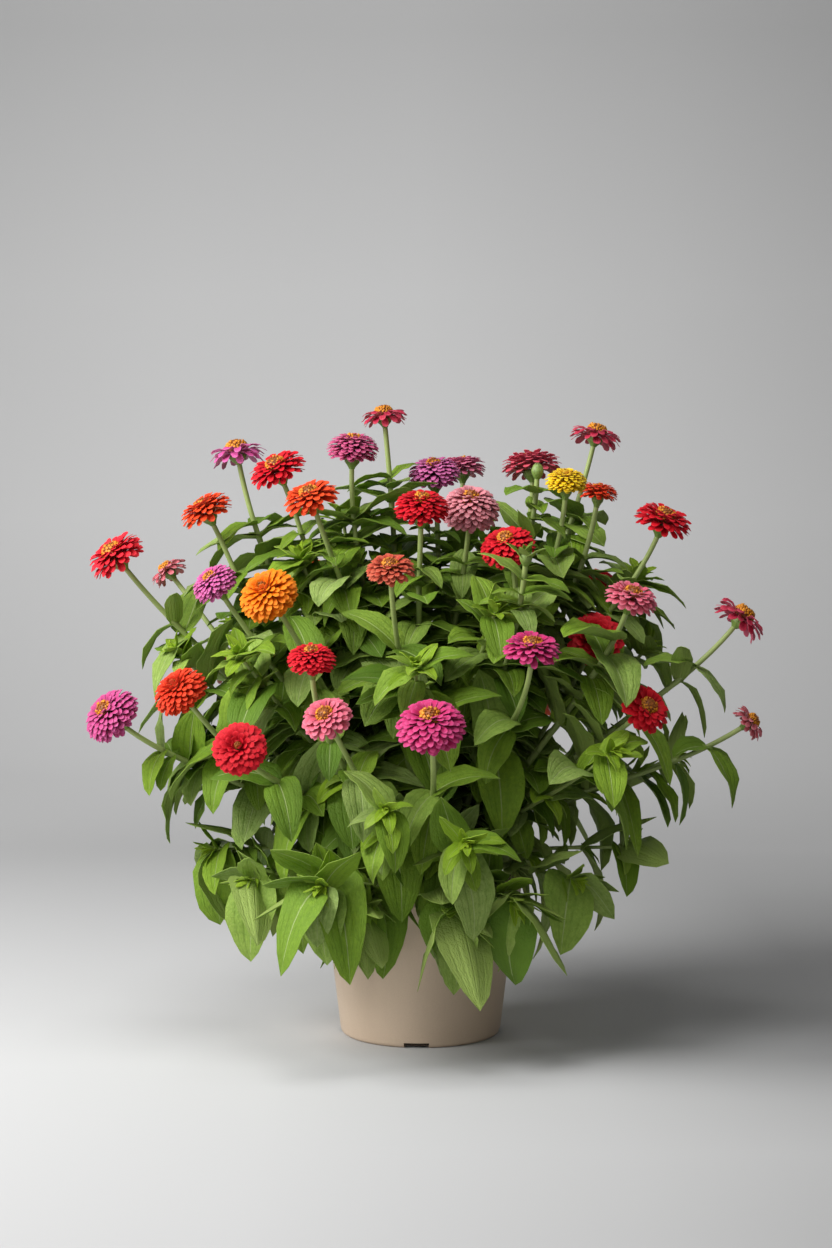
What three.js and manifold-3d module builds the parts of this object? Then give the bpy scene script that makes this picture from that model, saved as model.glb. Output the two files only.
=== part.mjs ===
// Potted zinnia: a tapered plastic pot of potting compost with nineteen branching, leafy stems
// that carry thirty-nine flower heads. Millimetres, +Z up. The origin is the centre of the pot's
// underside, and the plant is looked at from -Y. Angles are in degrees, and a compass angle counts
// anticlockwise seen from above: 0 is +X, 90 is +Y, 270 is towards the viewer.
import * as THREE from "three";
import { mergeVertices } from "three/addons/utils/BufferGeometryUtils.js";
import Module from "manifold-3d";

const wasm = await Module();
wasm.setup();

// The pot is three quarters as tall as it is wide, with a thick lip and drainage slots in its foot.
const POT = {
  height: 150,
  baseRadius: 79,
  wallRadius: 97,
  lipRadius: 100,
  lipHeight: 9,
  wall: 2.2,
  bevel: 1.5,
  sides: 32,
};
const SLOTS = { count: 4, width: 24, height: 4, reach: 12, firstAngle: 266 };

// The compost stops below the lip and stands a little higher in the middle.
const SOIL = { top: 130, crown: 6, gap: 0.5, sides: 16, holeDepth: 30, holeRadius: 6 };

// Corner radii of the four-sided stems: in the compost, where a branch forks off, under a flower
// head, whose green cup flares, and at a leafy tip. Every leaf and branch grows out of a facet of its
// stem, and these nodes keep their distance. A branch forks off at a share of the main stem's length
// that grows with the height of its tip, turned by a share of the angle to that tip. The pulls are the
// lengths of a curve's handles against its span. Rings lie within the spacing of each other.
const STEM = {
  rootRadius: 4.6,
  footGap: 2,
  branchRadius: 3.2,
  neckRadius: 3.3,
  tipRadius: 2,
  cupRadius: 8,
  cupHeight: 9,
  budRadius: 8,
  budLength: 16,
  facetHeight: 6,
  nodeDistance: 10,
  forkDistance: 26,
  forkReach: 28,
  forkShare: 0.42,
  lowestFork: 0.1,
  highestFork: 0.66,
  forkAngles: [34, 70],
  forkTurn: 0.7,
  outward: 0.12,
  pull: 0.34,
  forkPulls: [0.3, 0.32],
  leafyShare: 0.72,
  ringSpacing: 105,
  samples: 32,
};

// Full-grown leaf sizes. A blade is thickest on its midrib and folds up from it along both halves.
// A leaf spreads from its stem and droops more the lower it grows. It is tried again with more freedom
// and a little shorter until it has room, and turns its upper face partly to the light.
const LEAF = {
  length: 88,
  halfWidth: 22,
  thickness: 1.6,
  fold: 16,
  sections: [0.27, 0.66],
  tries: 12,
  turn: { least: 10, step: 4, most: 36 },
  spread: { middle: 62, least: 12, step: 2 },
  droop: { least: 0.25, low: 0.9, lowBelow: 450, vary: 0.3 },
  shrink: 0.04,
  light: { least: 0.25, own: 0.4, level: 0.6 },
};

// How far one surface keeps from another while leaves are being placed.
const CLEAR = { leaf: 11, stem: 10, bloom: 5, pot: 4, floor: 14 };

const HEAD_DEPTH = 8; // from the middle of a flower head down to its green cup
const LARGE_HEAD = 25.5; // heads of this radius or more have one more petal in each row
const SEAT_GAP = 0.3;
const SEED = 20260719;

// Each flower head: its middle, how far its face leans and towards which compass angle, its radius,
// its form and its petal colour. The last six stand on the far side.
const BLOOMS = [
  { at: [-37, 40, 617], lean: 6, toward: 180, radius: 23, form: "single", colour: "rose" },
  { at: [-183, 30, 580], lean: 10, toward: 170, radius: 28, form: "single", colour: "purple" },
  { at: [-139, -50, 562], lean: 28, toward: 215, radius: 27, form: "double", colour: "red" },
  { at: [-66, -20, 579], lean: 8, toward: 300, radius: 25, form: "dome", colour: "mauve" },
  { at: [-105, -100, 536], lean: 25, toward: 225, radius: 26, form: "double", colour: "scarlet" },
  { at: [-211, -20, 522], lean: 28, toward: 195, radius: 26, form: "double", colour: "scarlet" },
  { at: [-295, -60, 479], lean: 38, toward: 205, radius: 28, form: "double", colour: "red" },
  { at: [-259, 70, 460], lean: 40, toward: 165, radius: 20, form: "single", colour: "dusty_pink" },
  { at: [-196, -100, 453], lean: 38, toward: 215, radius: 22, form: "dome", colour: "purple" },
  { at: [-140, -170, 445], lean: 45, toward: 235, radius: 28, form: "dome", colour: "orange" },
  { at: [1, -90, 523], lean: 15, toward: 280, radius: 26, form: "dome", colour: "red" },
  { at: [14, 60, 553], lean: 12, toward: 250, radius: 26, form: "dome", colour: "purple" },
  { at: [43, 120, 562], lean: 8, toward: 100, radius: 24, form: "double", colour: "mauve" },
  { at: [48, -40, 519], lean: 22, toward: 280, radius: 28, form: "dome", colour: "dusty_pink" },
  { at: [-28, -190, 474], lean: 22, toward: 265, radius: 22, form: "double", colour: "coral" },
  { at: [111, 50, 564], lean: 12, toward: 110, radius: 29, form: "double", colour: "rose" },
  { at: [141, -40, 549], lean: 12, toward: 280, radius: 20, form: "dome", colour: "yellow" },
  { at: [180, 100, 597], lean: 14, toward: 20, radius: 26, form: "single", colour: "rose" },
  { at: [177, 20, 540], lean: 8, toward: 350, radius: 19, form: "double", colour: "scarlet" },
  { at: [83, -90, 486], lean: 30, toward: 240, radius: 26, form: "dome", colour: "red" },
  { at: [238, -20, 511], lean: 22, toward: 330, radius: 28, form: "double", colour: "red" },
  { at: [200, -110, 442], lean: 22, toward: 320, radius: 25, form: "double", colour: "pink" },
  { at: [317, -20, 418], lean: 38, toward: 5, radius: 27, form: "single", colour: "rose" },
  { at: [326, -40, 317], lean: 55, toward: 350, radius: 19, form: "single", colour: "dusty_pink" },
  { at: [102, -190, 400], lean: 15, toward: 280, radius: 26, form: "double", colour: "magenta" },
  { at: [170, -50, 397], lean: 60, toward: 275, radius: 27, form: "double", colour: "red" },
  { at: [213, -130, 338], lean: 55, toward: 310, radius: 24, form: "double", colour: "red" },
  { at: [9, -250, 331], lean: 28, toward: 262, radius: 31, form: "dome", colour: "magenta" },
  { at: [-99, -220, 391], lean: 14, toward: 265, radius: 22, form: "dome", colour: "red" },
  { at: [-86, -240, 342], lean: 42, toward: 240, radius: 23, form: "double", colour: "pink" },
  { at: [-224, -150, 354], lean: 42, toward: 220, radius: 26, form: "dome", colour: "scarlet" },
  { at: [-292, -110, 327], lean: 50, toward: 215, radius: 28, form: "dome", colour: "orchid" },
  { at: [-164, -230, 311], lean: 62, toward: 262, radius: 25, form: "double", colour: "red" },
  { at: [-120, 210, 440], lean: 35, toward: 120, radius: 26, form: "dome", colour: "orange" },
  { at: [60, 250, 400], lean: 40, toward: 75, radius: 27, form: "double", colour: "purple" },
  { at: [190, 190, 430], lean: 35, toward: 40, radius: 26, form: "dome", colour: "red" },
  { at: [-215, 160, 350], lean: 45, toward: 145, radius: 25, form: "double", colour: "pink" },
  { at: [130, 260, 310], lean: 50, toward: 60, radius: 25, form: "double", colour: "scarlet" },
  { at: [-40, 270, 340], lean: 50, toward: 95, radius: 24, form: "double", colour: "yellow" },
];

// Each stem: where it leaves the compost, the flower heads it carries by their number in BLOOMS,
// tallest first, and its flowerless shoots, which end in a tuft of young leaves or in a green bud.
const STEMS = [
  {
    root: [-52, -8],
    blooms: [7, 6, 8],
    shoots: [
      { at: [-236, -60, 386], lean: 45, toward: 195 },
      { at: [-205, -45, 190], lean: 85, toward: 190 },
    ],
  },
  {
    root: [-50, -28],
    blooms: [32, 31],
    shoots: [{ at: [-165, -125, 172], lean: 95, toward: 217 }],
  },
  {
    root: [-36, -46],
    blooms: [33],
    shoots: [{ at: [-92, -215, 182], lean: 75, toward: 250 }],
  },
  {
    root: [-16, -56],
    blooms: [29, 30],
    shoots: [
      { at: [-32, -235, 256], lean: 60, toward: 262 },
      { at: [-60, -176, 150], lean: 110, toward: 250 },
    ],
  },
  {
    root: [-34, -22],
    blooms: [10, 9],
    shoots: [{ at: [-170, -165, 392], lean: 45, toward: 225 }],
  },
  {
    root: [-34, 6],
    blooms: [2, 3],
    shoots: [{ at: [-90, 90, 480], lean: 15, toward: 130 }],
  },
  {
    root: [-14, -8],
    blooms: [1, 4, 5],
    shoots: [
      { at: [-116, -60, 478], lean: 20, toward: 220 },
      { at: [-78, 20, 514], lean: 12, toward: 160 },
    ],
  },
  {
    root: [2, -28],
    blooms: [11, 15],
    shoots: [{ at: [-5, -205, 385], lean: 45, toward: 268 }],
  },
  {
    root: [6, -60],
    blooms: [28],
    shoots: [
      { at: [40, -235, 226], lean: 65, toward: 280 },
      { at: [30, -176, 150], lean: 112, toward: 278 },
    ],
  },
  {
    root: [10, 2],
    blooms: [12, 14],
    shoots: [{ at: [70, -130, 430], lean: 32, toward: 290 }],
  },
  {
    root: [14, 26],
    blooms: [13, 16],
    shoots: [{ at: [70, 100, 480], lean: 15, toward: 60 }],
  },
  {
    root: [24, -44],
    blooms: [20, 25],
    shoots: [
      { at: [98, -142, 487], lean: 15, toward: 270, bud: true },
      { at: [90, -166, 158], lean: 105, toward: 302 },
    ],
  },
  {
    root: [34, -8],
    blooms: [19, 17],
    shoots: [{ at: [114, -22, 566], lean: 5, toward: 270, bud: true }],
  },
  {
    root: [36, 14],
    blooms: [18, 21],
    shoots: [
      { at: [222, 52, 452], lean: 28, toward: 10 },
      { at: [230, 60, 380], lean: 40, toward: 15 },
    ],
  },
  {
    root: [44, -30],
    blooms: [22, 26, 27],
    shoots: [
      { at: [178, -160, 300], lean: 55, toward: 305 },
      { at: [150, -110, 170], lean: 95, toward: 325 },
    ],
  },
  {
    root: [58, -6],
    blooms: [23, 24],
    shoots: [
      { at: [205, -30, 190], lean: 85, toward: 350 },
      { at: [255, 10, 275], lean: 65, toward: 0 },
    ],
  },
  {
    root: [-34, 36],
    blooms: [34, 37],
    shoots: [
      { at: [-150, 140, 240], lean: 70, toward: 135 },
      { at: [-190, 90, 400], lean: 40, toward: 160 },
    ],
  },
  {
    root: [-4, 52],
    blooms: [35, 39],
    shoots: [
      { at: [8, 200, 222], lean: 72, toward: 88 },
      { at: [-40, 190, 430], lean: 30, toward: 105 },
    ],
  },
  {
    root: [34, 44],
    blooms: [36, 38],
    shoots: [
      { at: [150, 150, 235], lean: 70, toward: 45 },
      { at: [105, 175, 430], lean: 30, toward: 62 },
    ],
  },
];

const COLOURS = {
  pot: 0x9c8b7a,
  soil: 0x33261c,
  leaf: 0x4f7a2c,
  red: 0xb3121d,
  scarlet: 0xd2361c,
  orange: 0xf0860e,
  yellow: 0xf2c313,
  coral: 0xc8452f,
  rose: 0x9c2140,
  magenta: 0xc92d7c,
  orchid: 0xc65fae,
  purple: 0xa63c97,
  mauve: 0x8f2f67,
  pink: 0xdf6c84,
  dusty_pink: 0xc26a72,
};

const UP = new THREE.Vector3(0, 0, 1);
const { cos, sin, sqrt, min, max, PI } = Math;
const rad = THREE.MathUtils.degToRad;

// The next number from 0 to 1 of a fixed sequence, so that the plant is the same each time.
let randomState = SEED;
function random() {
  randomState = (Math.imul(randomState, 1664525) + 1013904223) >>> 0;
  return randomState / 4294967296;
}

// The same, from -1 to 1.
function eitherWay() {
  return 2 * random() - 1;
}

// The unit vector that leans from the vertical by lean, towards a compass angle.
function leaning(lean, toward) {
  const flat = sin(rad(lean));
  return new THREE.Vector3(flat * cos(rad(toward)), flat * sin(rad(toward)), cos(rad(lean)));
}

// A point moved along a direction, as a new vector.
function along(point, direction, distance) {
  return point.clone().addScaledVector(direction, distance);
}

// The centreline of a stem or branch, with its length measured back from the tip.
class Centreline {
  constructor(start, startDirection, end, endDirection, startPull, endPull) {
    const span = start.distanceTo(end);
    this.curve = new THREE.CubicBezierCurve3(
      start,
      along(start, startDirection, startPull * span),
      along(end, endDirection, -endPull * span),
      end,
    );
    this.points = [];
    this.toTip = [];
    for (let i = 0; i <= STEM.samples; i++) this.points.push(this.curve.getPoint(i / STEM.samples));
    let distance = 0;
    for (let i = STEM.samples; i >= 0; i--) {
      if (i < STEM.samples) distance += this.points[i].distanceTo(this.points[i + 1]);
      this.toTip[i] = distance;
    }
    this.length = distance;
  }

  // The curve's parameter at a distance back from the tip.
  parameterBack(distance) {
    let i = STEM.samples;
    while (i > 1 && this.toTip[i - 1] < distance) i--;
    const share = (distance - this.toTip[i]) / (this.toTip[i - 1] - this.toTip[i]);
    return max(0, (i - share) / STEM.samples);
  }

  // The distance back from the tip of a parameter.
  backOf(t) {
    const i = Math.floor(t * STEM.samples);
    const share = t * STEM.samples - i;
    return this.toTip[i] + share * (this.toTip[i + 1] - this.toTip[i]);
  }

  // The exact direction of growth at a parameter.
  direction(t) {
    const { v0, v1, v2, v3 } = this.curve;
    return new THREE.Vector3()
      .addScaledVector(v1.clone().sub(v0), 3 * (1 - t) * (1 - t))
      .addScaledVector(v2.clone().sub(v1), 6 * t * (1 - t))
      .addScaledVector(v3.clone().sub(v2), 3 * t * t)
      .normalize();
  }
}

// One branch from its start to its tip. Its level direction lies across it and sets how its sides
// are turned. Its nodes are the places where leaves or other branches grow from its four sides.
class Branch {
  constructor(line, tip, isMain) {
    this.line = line;
    this.tip = tip;
    this.isMain = isMain;
    this.turn = 180 * random();
    const span = line.curve.v3.clone().sub(line.curve.v0).setZ(0);
    this.level = UP.clone().cross(span).normalize();
    const forked = line.length - STEM.forkReach - STEM.facetHeight;
    const lowest = isMain ? STEM.leafyShare * line.length : forked;
    this.nodes = leafPairs(tip, isMain)
      .filter(({ back }) => back < lowest)
      .map(({ back, size }, tier) => ({ back, size, tier, growths: [] }));
  }

  // The middle of the branch at a distance back from its tip, its direction there, and the
  // direction at a compass angle round it.
  frame(back) {
    const t = this.line.parameterBack(back);
    const centre = this.line.curve.getPoint(t);
    const rise = this.line.direction(t);
    const first = along(this.level, rise, -this.level.dot(rise)).normalize();
    const second = rise.clone().cross(first);
    const away = (angle) =>
      first.clone().multiplyScalar(cos(rad(angle))).addScaledVector(second, sin(rad(angle)));
    return { centre, rise, away };
  }

  // Forks off a branch to a tip, from the side that faces it, at the given share of this branch.
  fork(share, tip, end, face) {
    let back = this.line.backOf(share);
    const crowds = (node) =>
      Math.abs(node.back - back) < (node.size ? STEM.nodeDistance : STEM.forkDistance);
    while (this.nodes.some(crowds)) back += 2;
    const { centre, rise, away } = this.frame(back);
    const aim = end.clone().sub(centre).normalize();
    const [least, most] = STEM.forkAngles.map(rad);
    const angle = min(most, max(least, STEM.forkTurn * rise.angleTo(aim)));
    const across = along(aim, rise, -aim.dot(rise)).normalize();
    const start = along(across.clone().multiplyScalar(sin(angle)), rise, cos(angle));
    const line = new Centreline(centre, start, end, face, ...STEM.forkPulls);
    const branch = new Branch(line, tip, false);
    const facing = [0, 1, 2, 3].map((side) => away(this.turn + 90 * side).dot(across));
    const growths = [];
    growths[facing.indexOf(max(...facing))] = branch;
    this.nodes.push({ back, growths });
    return branch;
  }
}

// Every branch of one stem: the first runs from the compost to the tallest head, and each of the
// others forks from it on the way up.
function growBranches(stem) {
  const tips = [
    ...stem.blooms.map((number) => ({ ...BLOOMS[number - 1], number })),
    ...stem.shoots,
  ];
  const branches = [];
  for (const tip of tips) {
    const face = leaning(tip.lean, tip.toward);
    const middle = new THREE.Vector3(...tip.at);
    const end = tip.number ? along(middle, face, -HEAD_DEPTH - SEAT_GAP) : middle;
    const main = branches[0];
    if (main) {
      const height = (end.z - SOIL.top) / (main.line.curve.v3.z - SOIL.top);
      const share = min(STEM.highestFork, max(STEM.lowestFork, STEM.forkShare * height));
      branches.push(main.fork(share, tip, end, face));
    } else {
      const start = new THREE.Vector3(...stem.root, SOIL.top + SOIL.crown);
      const outward = end.clone().sub(start).setZ(0).setLength(STEM.outward);
      const upward = outward.add(UP).normalize();
      const line = new Centreline(start, upward, end, face, STEM.pull, STEM.pull);
      branches.push(new Branch(line, tip, true));
    }
  }
  return branches;
}

// What is already standing, as points that each keep a distance from the next leaf.
class Room {
  constructor() {
    this.points = [];
  }

  add(point, clearance, owner) {
    this.points.push({ point, clearance, owner });
  }

  // Whether a leaf's sample points are clear of everything else, of the pot and of the floor. Those
  // nearest its stem pass that stem, and those at its very base pass other leaves too.
  fits(samples, branch) {
    return samples.every(
      ({ point, share }) =>
        clearOfPot(point) &&
        this.points.every(
          ({ point: other, clearance, owner }) =>
            (share < 0.3 && owner === branch) ||
            (share < 0.2 && !(owner instanceof Branch)) ||
            point.distanceToSquared(other) > clearance * clearance,
        ),
    );
  }
}

// Outside the pot's wall with room to spare, or above its lip or the compost.
function clearOfPot({ x, y, z }) {
  const radius = sqrt(x * x + y * y);
  const isOutside = radius > POT.lipRadius + CLEAR.pot;
  const isAbove = z > POT.height + CLEAR.pot;
  return z > CLEAR.floor && (isOutside || isAbove);
}

// Half the width of a leaf at a share of its length, as a share of its greatest half width.
function leafOutline(share) {
  return 2.39 * sqrt(share + 0.015) * (1 - share) ** 0.85;
}

// A point of a leaf: share runs from base to tip, across from -1 to 1, and lift is above the blade.
function leafPoint(leaf, share, across, lift) {
  const centre = along(leaf.base, leaf.heading, leaf.length * share);
  centre.addScaledVector(leaf.drop, leaf.length * share * share);
  const tangent = along(leaf.heading, leaf.drop, 2 * share);
  const normal = tangent.cross(leaf.side).normalize();
  const reach = leaf.halfWidth * leafOutline(share) * across;
  return centre
    .addScaledVector(leaf.side, reach * cos(rad(LEAF.fold)))
    .addScaledVector(normal, Math.abs(reach) * sin(rad(LEAF.fold)) + lift);
}

// The points of a leaf that stand for it while room is made for it.
function leafSamples(leaf) {
  const samples = [];
  for (const share of [0.12, 0.25, 0.41, 0.56, 0.71, 0.86, 1])
    for (const across of [-0.85, 0, 0.85])
      samples.push({ point: leafPoint(leaf, share, across, 0), share });
  return samples;
}

// One leaf on a branch, turned and shortened little by little until it has room, or undefined.
function growLeaf(branch, back, turn, size, room) {
  const { centre: base, rise, away } = branch.frame(back);
  const { spread, droop, light } = LEAF;
  const lowness = max(0, 1 - base.z / droop.lowBelow);
  for (let attempt = 0; attempt < LEAF.tries; attempt++) {
    const freedom = min(LEAF.turn.most, LEAF.turn.least + LEAF.turn.step * attempt);
    const outward = away(turn + freedom * eitherWay());
    const angle = rad(spread.middle + (spread.least + spread.step * attempt) * eitherWay());
    const sag = droop.least + droop.low * lowness + droop.vary * random();
    const arc = LEAF.length * size * (1 - LEAF.shrink * attempt);
    const heading = along(rise.clone().multiplyScalar(cos(angle)), outward, sin(angle));
    const drop = along(heading.clone().multiplyScalar(heading.z), UP, -1).multiplyScalar(sag);
    const side = rise.clone().cross(outward);
    const flat = UP.clone().cross(heading);
    if (flat.length() > light.least) {
      flat.setLength(flat.dot(side) < 0 ? -light.level : light.level);
      side.multiplyScalar(light.own).add(flat).normalize();
      side.addScaledVector(heading, -side.dot(heading)).normalize();
    }
    const halfWidth = (LEAF.halfWidth * arc) / LEAF.length;
    const leaf = { base, heading, drop, side, length: arc / stretch(heading, drop), halfWidth };
    const samples = leafSamples(leaf);
    if (!room.fits(samples, branch)) continue;
    samples.forEach(({ point }) => room.add(point, CLEAR.leaf, leaf));
    return leaf;
  }
}

// How much longer a drooping leaf is than the straight line it starts along, by Simpson's rule.
function stretch(heading, drop) {
  return (1 + 4 * along(heading, drop, 1).length() + along(heading, drop, 2).length()) / 6;
}

// Where leaf pairs sit below a tip, as distances back from it with their sizes.
function leafPairs(tip, isMain) {
  if (tip.bud) return [{ back: 30, size: 0.6 }, { back: 76, size: 0.9 }];
  if (!tip.number) return [{ back: 10, size: 0.66 }, { back: 48, size: 1 }, { back: 104, size: 1 }];
  const pairs = [{ back: 84, size: 0.76 }, { back: 142, size: 1 }];
  if (isMain) pairs.push({ back: 204, size: 1.04 }, { back: 268, size: 1 });
  return pairs;
}

// The whole plant: the branches of every stem, with their leaves in pairs that stand crosswise.
function growPlant() {
  const room = new Room();
  const plants = STEMS.map((stem) => growBranches(stem));
  const branches = plants.flat();
  for (const branch of branches) {
    if (branch.tip.number)
      room.add(new THREE.Vector3(...branch.tip.at), branch.tip.radius + CLEAR.bloom, null);
    const steps = Math.round(branch.line.length / 10);
    for (let i = 0; i <= steps; i++)
      room.add(branch.frame((i * branch.line.length) / steps).centre, CLEAR.stem, branch);
  }
  for (const tier of [0, 1, 2, 3])
    for (const branch of branches)
      for (const node of branch.nodes.filter((one) => one.tier === tier))
        for (const side of [tier % 2, (tier % 2) + 2])
          node.growths[side] = growLeaf(branch, node.back, branch.turn + 90 * side, node.size, room);
  return plants;
}

// A closed triangle mesh as a solid that can be joined and cut.
function solidOf(geometry) {
  const bare = new THREE.BufferGeometry();
  bare.setAttribute("position", geometry.getAttribute("position"));
  bare.setIndex(geometry.index);
  const merged = mergeVertices(bare, 1e-4);
  return new wasm.Manifold(
    new wasm.Mesh({
      numProp: 3,
      vertProperties: new Float32Array(merged.attributes.position.array),
      triVerts: new Uint32Array(merged.index.array),
    }),
  );
}

// A solid as a mesh's geometry.
function geometryOf(solid) {
  const { vertProperties, triVerts } = solid.getMesh();
  return new THREE.BufferGeometry()
    .setAttribute("position", new THREE.BufferAttribute(vertProperties, 3))
    .setIndex(new THREE.BufferAttribute(triVerts, 1));
}

// A mesh from a list of points and of triangles that turn anticlockwise seen from outside.
function facets(points, triangles) {
  const geometry = new THREE.BufferGeometry().setFromPoints(points);
  return geometry.setIndex(triangles.flat());
}

// A closed surface as it grows. A loop is four corners, clockwise seen from where it leads to.
class Skin {
  points = [];
  triangles = [];

  loop(corners) {
    this.points.push(...corners);
    return corners.map((_, i) => this.points.length - corners.length + i);
  }

  // Joins two loops, with the near one turned so that they twist least. The two faces of a blade
  // are split into triangles alike.
  sleeve(near, far) {
    const twist = (shift) =>
      far.reduce((sum, corner, i) => {
        const start = this.points[near[(i + shift) % 4]];
        return sum + this.points[corner].distanceToSquared(start);
      }, 0);
    const twists = [0, 1, 2, 3].map(twist);
    const shift = twists.indexOf(min(...twists));
    for (let i = 0; i < 4; i++) {
      const [a, b] = [near[(i + shift) % 4], near[(i + shift + 1) % 4]];
      const [c, d] = [far[i], far[(i + 1) % 4]];
      if (i % 2 === 0) this.triangles.push([b, a, d], [a, c, d]);
      else this.triangles.push([b, a, c], [b, c, d]);
    }
  }

  close([a, b, c, d]) {
    this.triangles.push([a, c, b], [a, d, c]);
  }

  // Closes a loop with a point.
  taper(near, point) {
    this.points.push(point);
    for (let i = 0; i < 4; i++)
      this.triangles.push([near[(i + 1) % 4], near[i], this.points.length - 1]);
  }
}

// The rings of a branch from its start to its tip, as distances back from the tip with their corner
// radii. The lower ring of a node holds what grows between it and the next.
function ringPlan({ line, tip, isMain, nodes }) {
  const startRadius = isMain ? STEM.rootRadius : STEM.branchRadius;
  const endRadius = tip.number || tip.bud ? STEM.neckRadius : STEM.tipRadius;
  const half = STEM.facetHeight / 2;
  const marks = [{ back: isMain ? line.length : line.length - STEM.forkReach }];
  for (const { back, growths } of nodes)
    if (growths.some(Boolean)) marks.push({ back: back + half, growths }, { back: back - half });
  if (tip.number) marks.push({ back: STEM.cupHeight }, { back: 0, radius: STEM.cupRadius });
  else if (tip.bud)
    marks.push(
      { back: STEM.budLength },
      { back: 0.7 * STEM.budLength, radius: STEM.budRadius },
      { back: 0.25 * STEM.budLength, radius: 0.9 * STEM.budRadius },
      { back: 0, radius: STEM.tipRadius },
    );
  else marks.push({ back: 0 });
  marks.sort((a, b) => b.back - a.back);
  const rings = marks.slice(0, 1);
  for (const mark of marks.slice(1)) {
    const last = rings[rings.length - 1];
    const steps = Math.ceil((last.back - mark.back) / STEM.ringSpacing);
    for (let i = 1; i < steps; i++)
      rings.push({ back: last.back + ((mark.back - last.back) * i) / steps });
    rings.push(mark);
  }
  return rings.map((ring) => ({
    radius: endRadius + ((startRadius - endRadius) * ring.back) / line.length,
    ...ring,
  }));
}

// Adds a branch, with all that grows on it, from the four corners of the facet it starts at.
function addBranch(skin, branch, facet) {
  const corners = (centre, away, radius) =>
    [315, 225, 135, 45].map((angle) => along(centre, away(branch.turn + angle), radius));
  let near = null;
  let growths = [];
  if (branch.isMain) {
    const { centre, away } = branch.frame(branch.line.length);
    const buried = along(centre, UP, STEM.footGap - SOIL.holeDepth - SOIL.crown);
    near = skin.loop(corners(buried, away, STEM.rootRadius));
    skin.close([...near].reverse());
  }
  for (const ring of ringPlan(branch)) {
    const { centre, away } = branch.frame(ring.back);
    const far = skin.loop(corners(centre, away, ring.radius));
    if (!near) skin.sleeve(facet, far);
    for (let side = 0; near && side < 4; side++) {
      const [left, right] = [(4 - side) % 4, 3 - side];
      const between = [near[left], far[left], far[right], near[right]];
      if (growths[side] instanceof Branch) addBranch(skin, growths[side], between);
      else if (growths[side]) addLeaf(skin, growths[side], between);
      else skin.close(between);
    }
    near = far;
    growths = ring.growths ?? [];
  }
  skin.close(near);
}

// Adds a leaf that starts from four corners of its stem: a folded, drooping blade, thick on its
// midrib and sharp all round its edge.
function addLeaf(skin, leaf, facet) {
  const half = LEAF.thickness / 2;
  let near = facet;
  for (const share of LEAF.sections) {
    const far = skin.loop([
      leafPoint(leaf, share, -1, 0),
      leafPoint(leaf, share, 0, half),
      leafPoint(leaf, share, 1, 0),
      leafPoint(leaf, share, 0, -half),
    ]);
    skin.sleeve(near, far);
    near = far;
  }
  skin.taper(near, leafPoint(leaf, 1, 0, 0));
}

// One stem with its branches and leaves as a single closed surface.
function stemGeometry([main]) {
  const skin = new Skin();
  addBranch(skin, main, null);
  return facets(skin.points, skin.triangles);
}

// A ring of a flower head: evenly spaced points.
function plainRing(count, radius, height, phase) {
  return Array.from({ length: count }, (_, i) => ({
    angle: (2 * PI * (i + phase)) / count,
    radius,
    height,
  }));
}

// A ring of blunt petal ends, each with two corners, and a notch between every two petals.
function petalRing(count, tip, notch, phase, bluntness) {
  const ring = [];
  for (let i = 0; i < count; i++) {
    const middle = i + phase;
    const vary = 1 + 0.07 * eitherWay();
    const rise = tip.height + 0.05 * tip.radius * eitherWay();
    ring.push({ angle: middle - 0.5, radius: notch.radius, height: notch.height });
    ring.push({ angle: middle - bluntness, radius: tip.radius * vary, height: rise });
    ring.push({ angle: middle + bluntness, radius: tip.radius * vary, height: rise });
  }
  return ring.map((corner) => ({ ...corner, angle: (2 * PI * corner.angle) / count }));
}

// Triangles between two rings, taken in the order of their edges' middle angles.
function bridge(lower, upper, lowerStart, upperStart) {
  const angleOf = (ring, i) => ring[i % ring.length].angle + 2 * PI * Math.floor(i / ring.length);
  const turn = 2 * PI;
  const shift = turn * Math.round((lower[0].angle - upper[0].angle) / turn);
  const triangles = [];
  let [i, j] = [0, 0];
  while (i < lower.length || j < upper.length) {
    const lowerMiddle = angleOf(lower, i) + angleOf(lower, i + 1);
    const upperMiddle = angleOf(upper, j) + angleOf(upper, j + 1) + 2 * shift;
    const a = lowerStart + (i % lower.length);
    const c = upperStart + (j % upper.length);
    if (j >= upper.length || (i < lower.length && lowerMiddle <= upperMiddle + 1e-9)) {
      triangles.push([a, lowerStart + ((i + 1) % lower.length), c]);
      i++;
    } else {
      triangles.push([a, upperStart + ((j + 1) % upper.length), c]);
      j++;
    }
  }
  return triangles;
}

// A closed flower head through rings from its foot up to the middle of its face.
function headThrough(rings, apexHeight) {
  const points = [];
  const triangles = [];
  const starts = [];
  for (const ring of rings) {
    starts.push(points.length);
    for (const { angle, radius, height } of ring)
      points.push(new THREE.Vector3(radius * cos(angle), radius * sin(angle), height));
  }
  for (let i = 1; i < rings[0].length - 1; i++) triangles.push([0, i + 1, i]);
  for (let k = 0; k < rings.length - 1; k++)
    triangles.push(...bridge(rings[k], rings[k + 1], starts[k], starts[k + 1]));
  const [last, start] = [rings[rings.length - 1], starts[starts.length - 1]];
  points.push(new THREE.Vector3(0, 0, apexHeight));
  for (let i = 0; i < last.length; i++)
    triangles.push([start + i, start + ((i + 1) % last.length), points.length - 1]);
  return facets(points, triangles);
}

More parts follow.
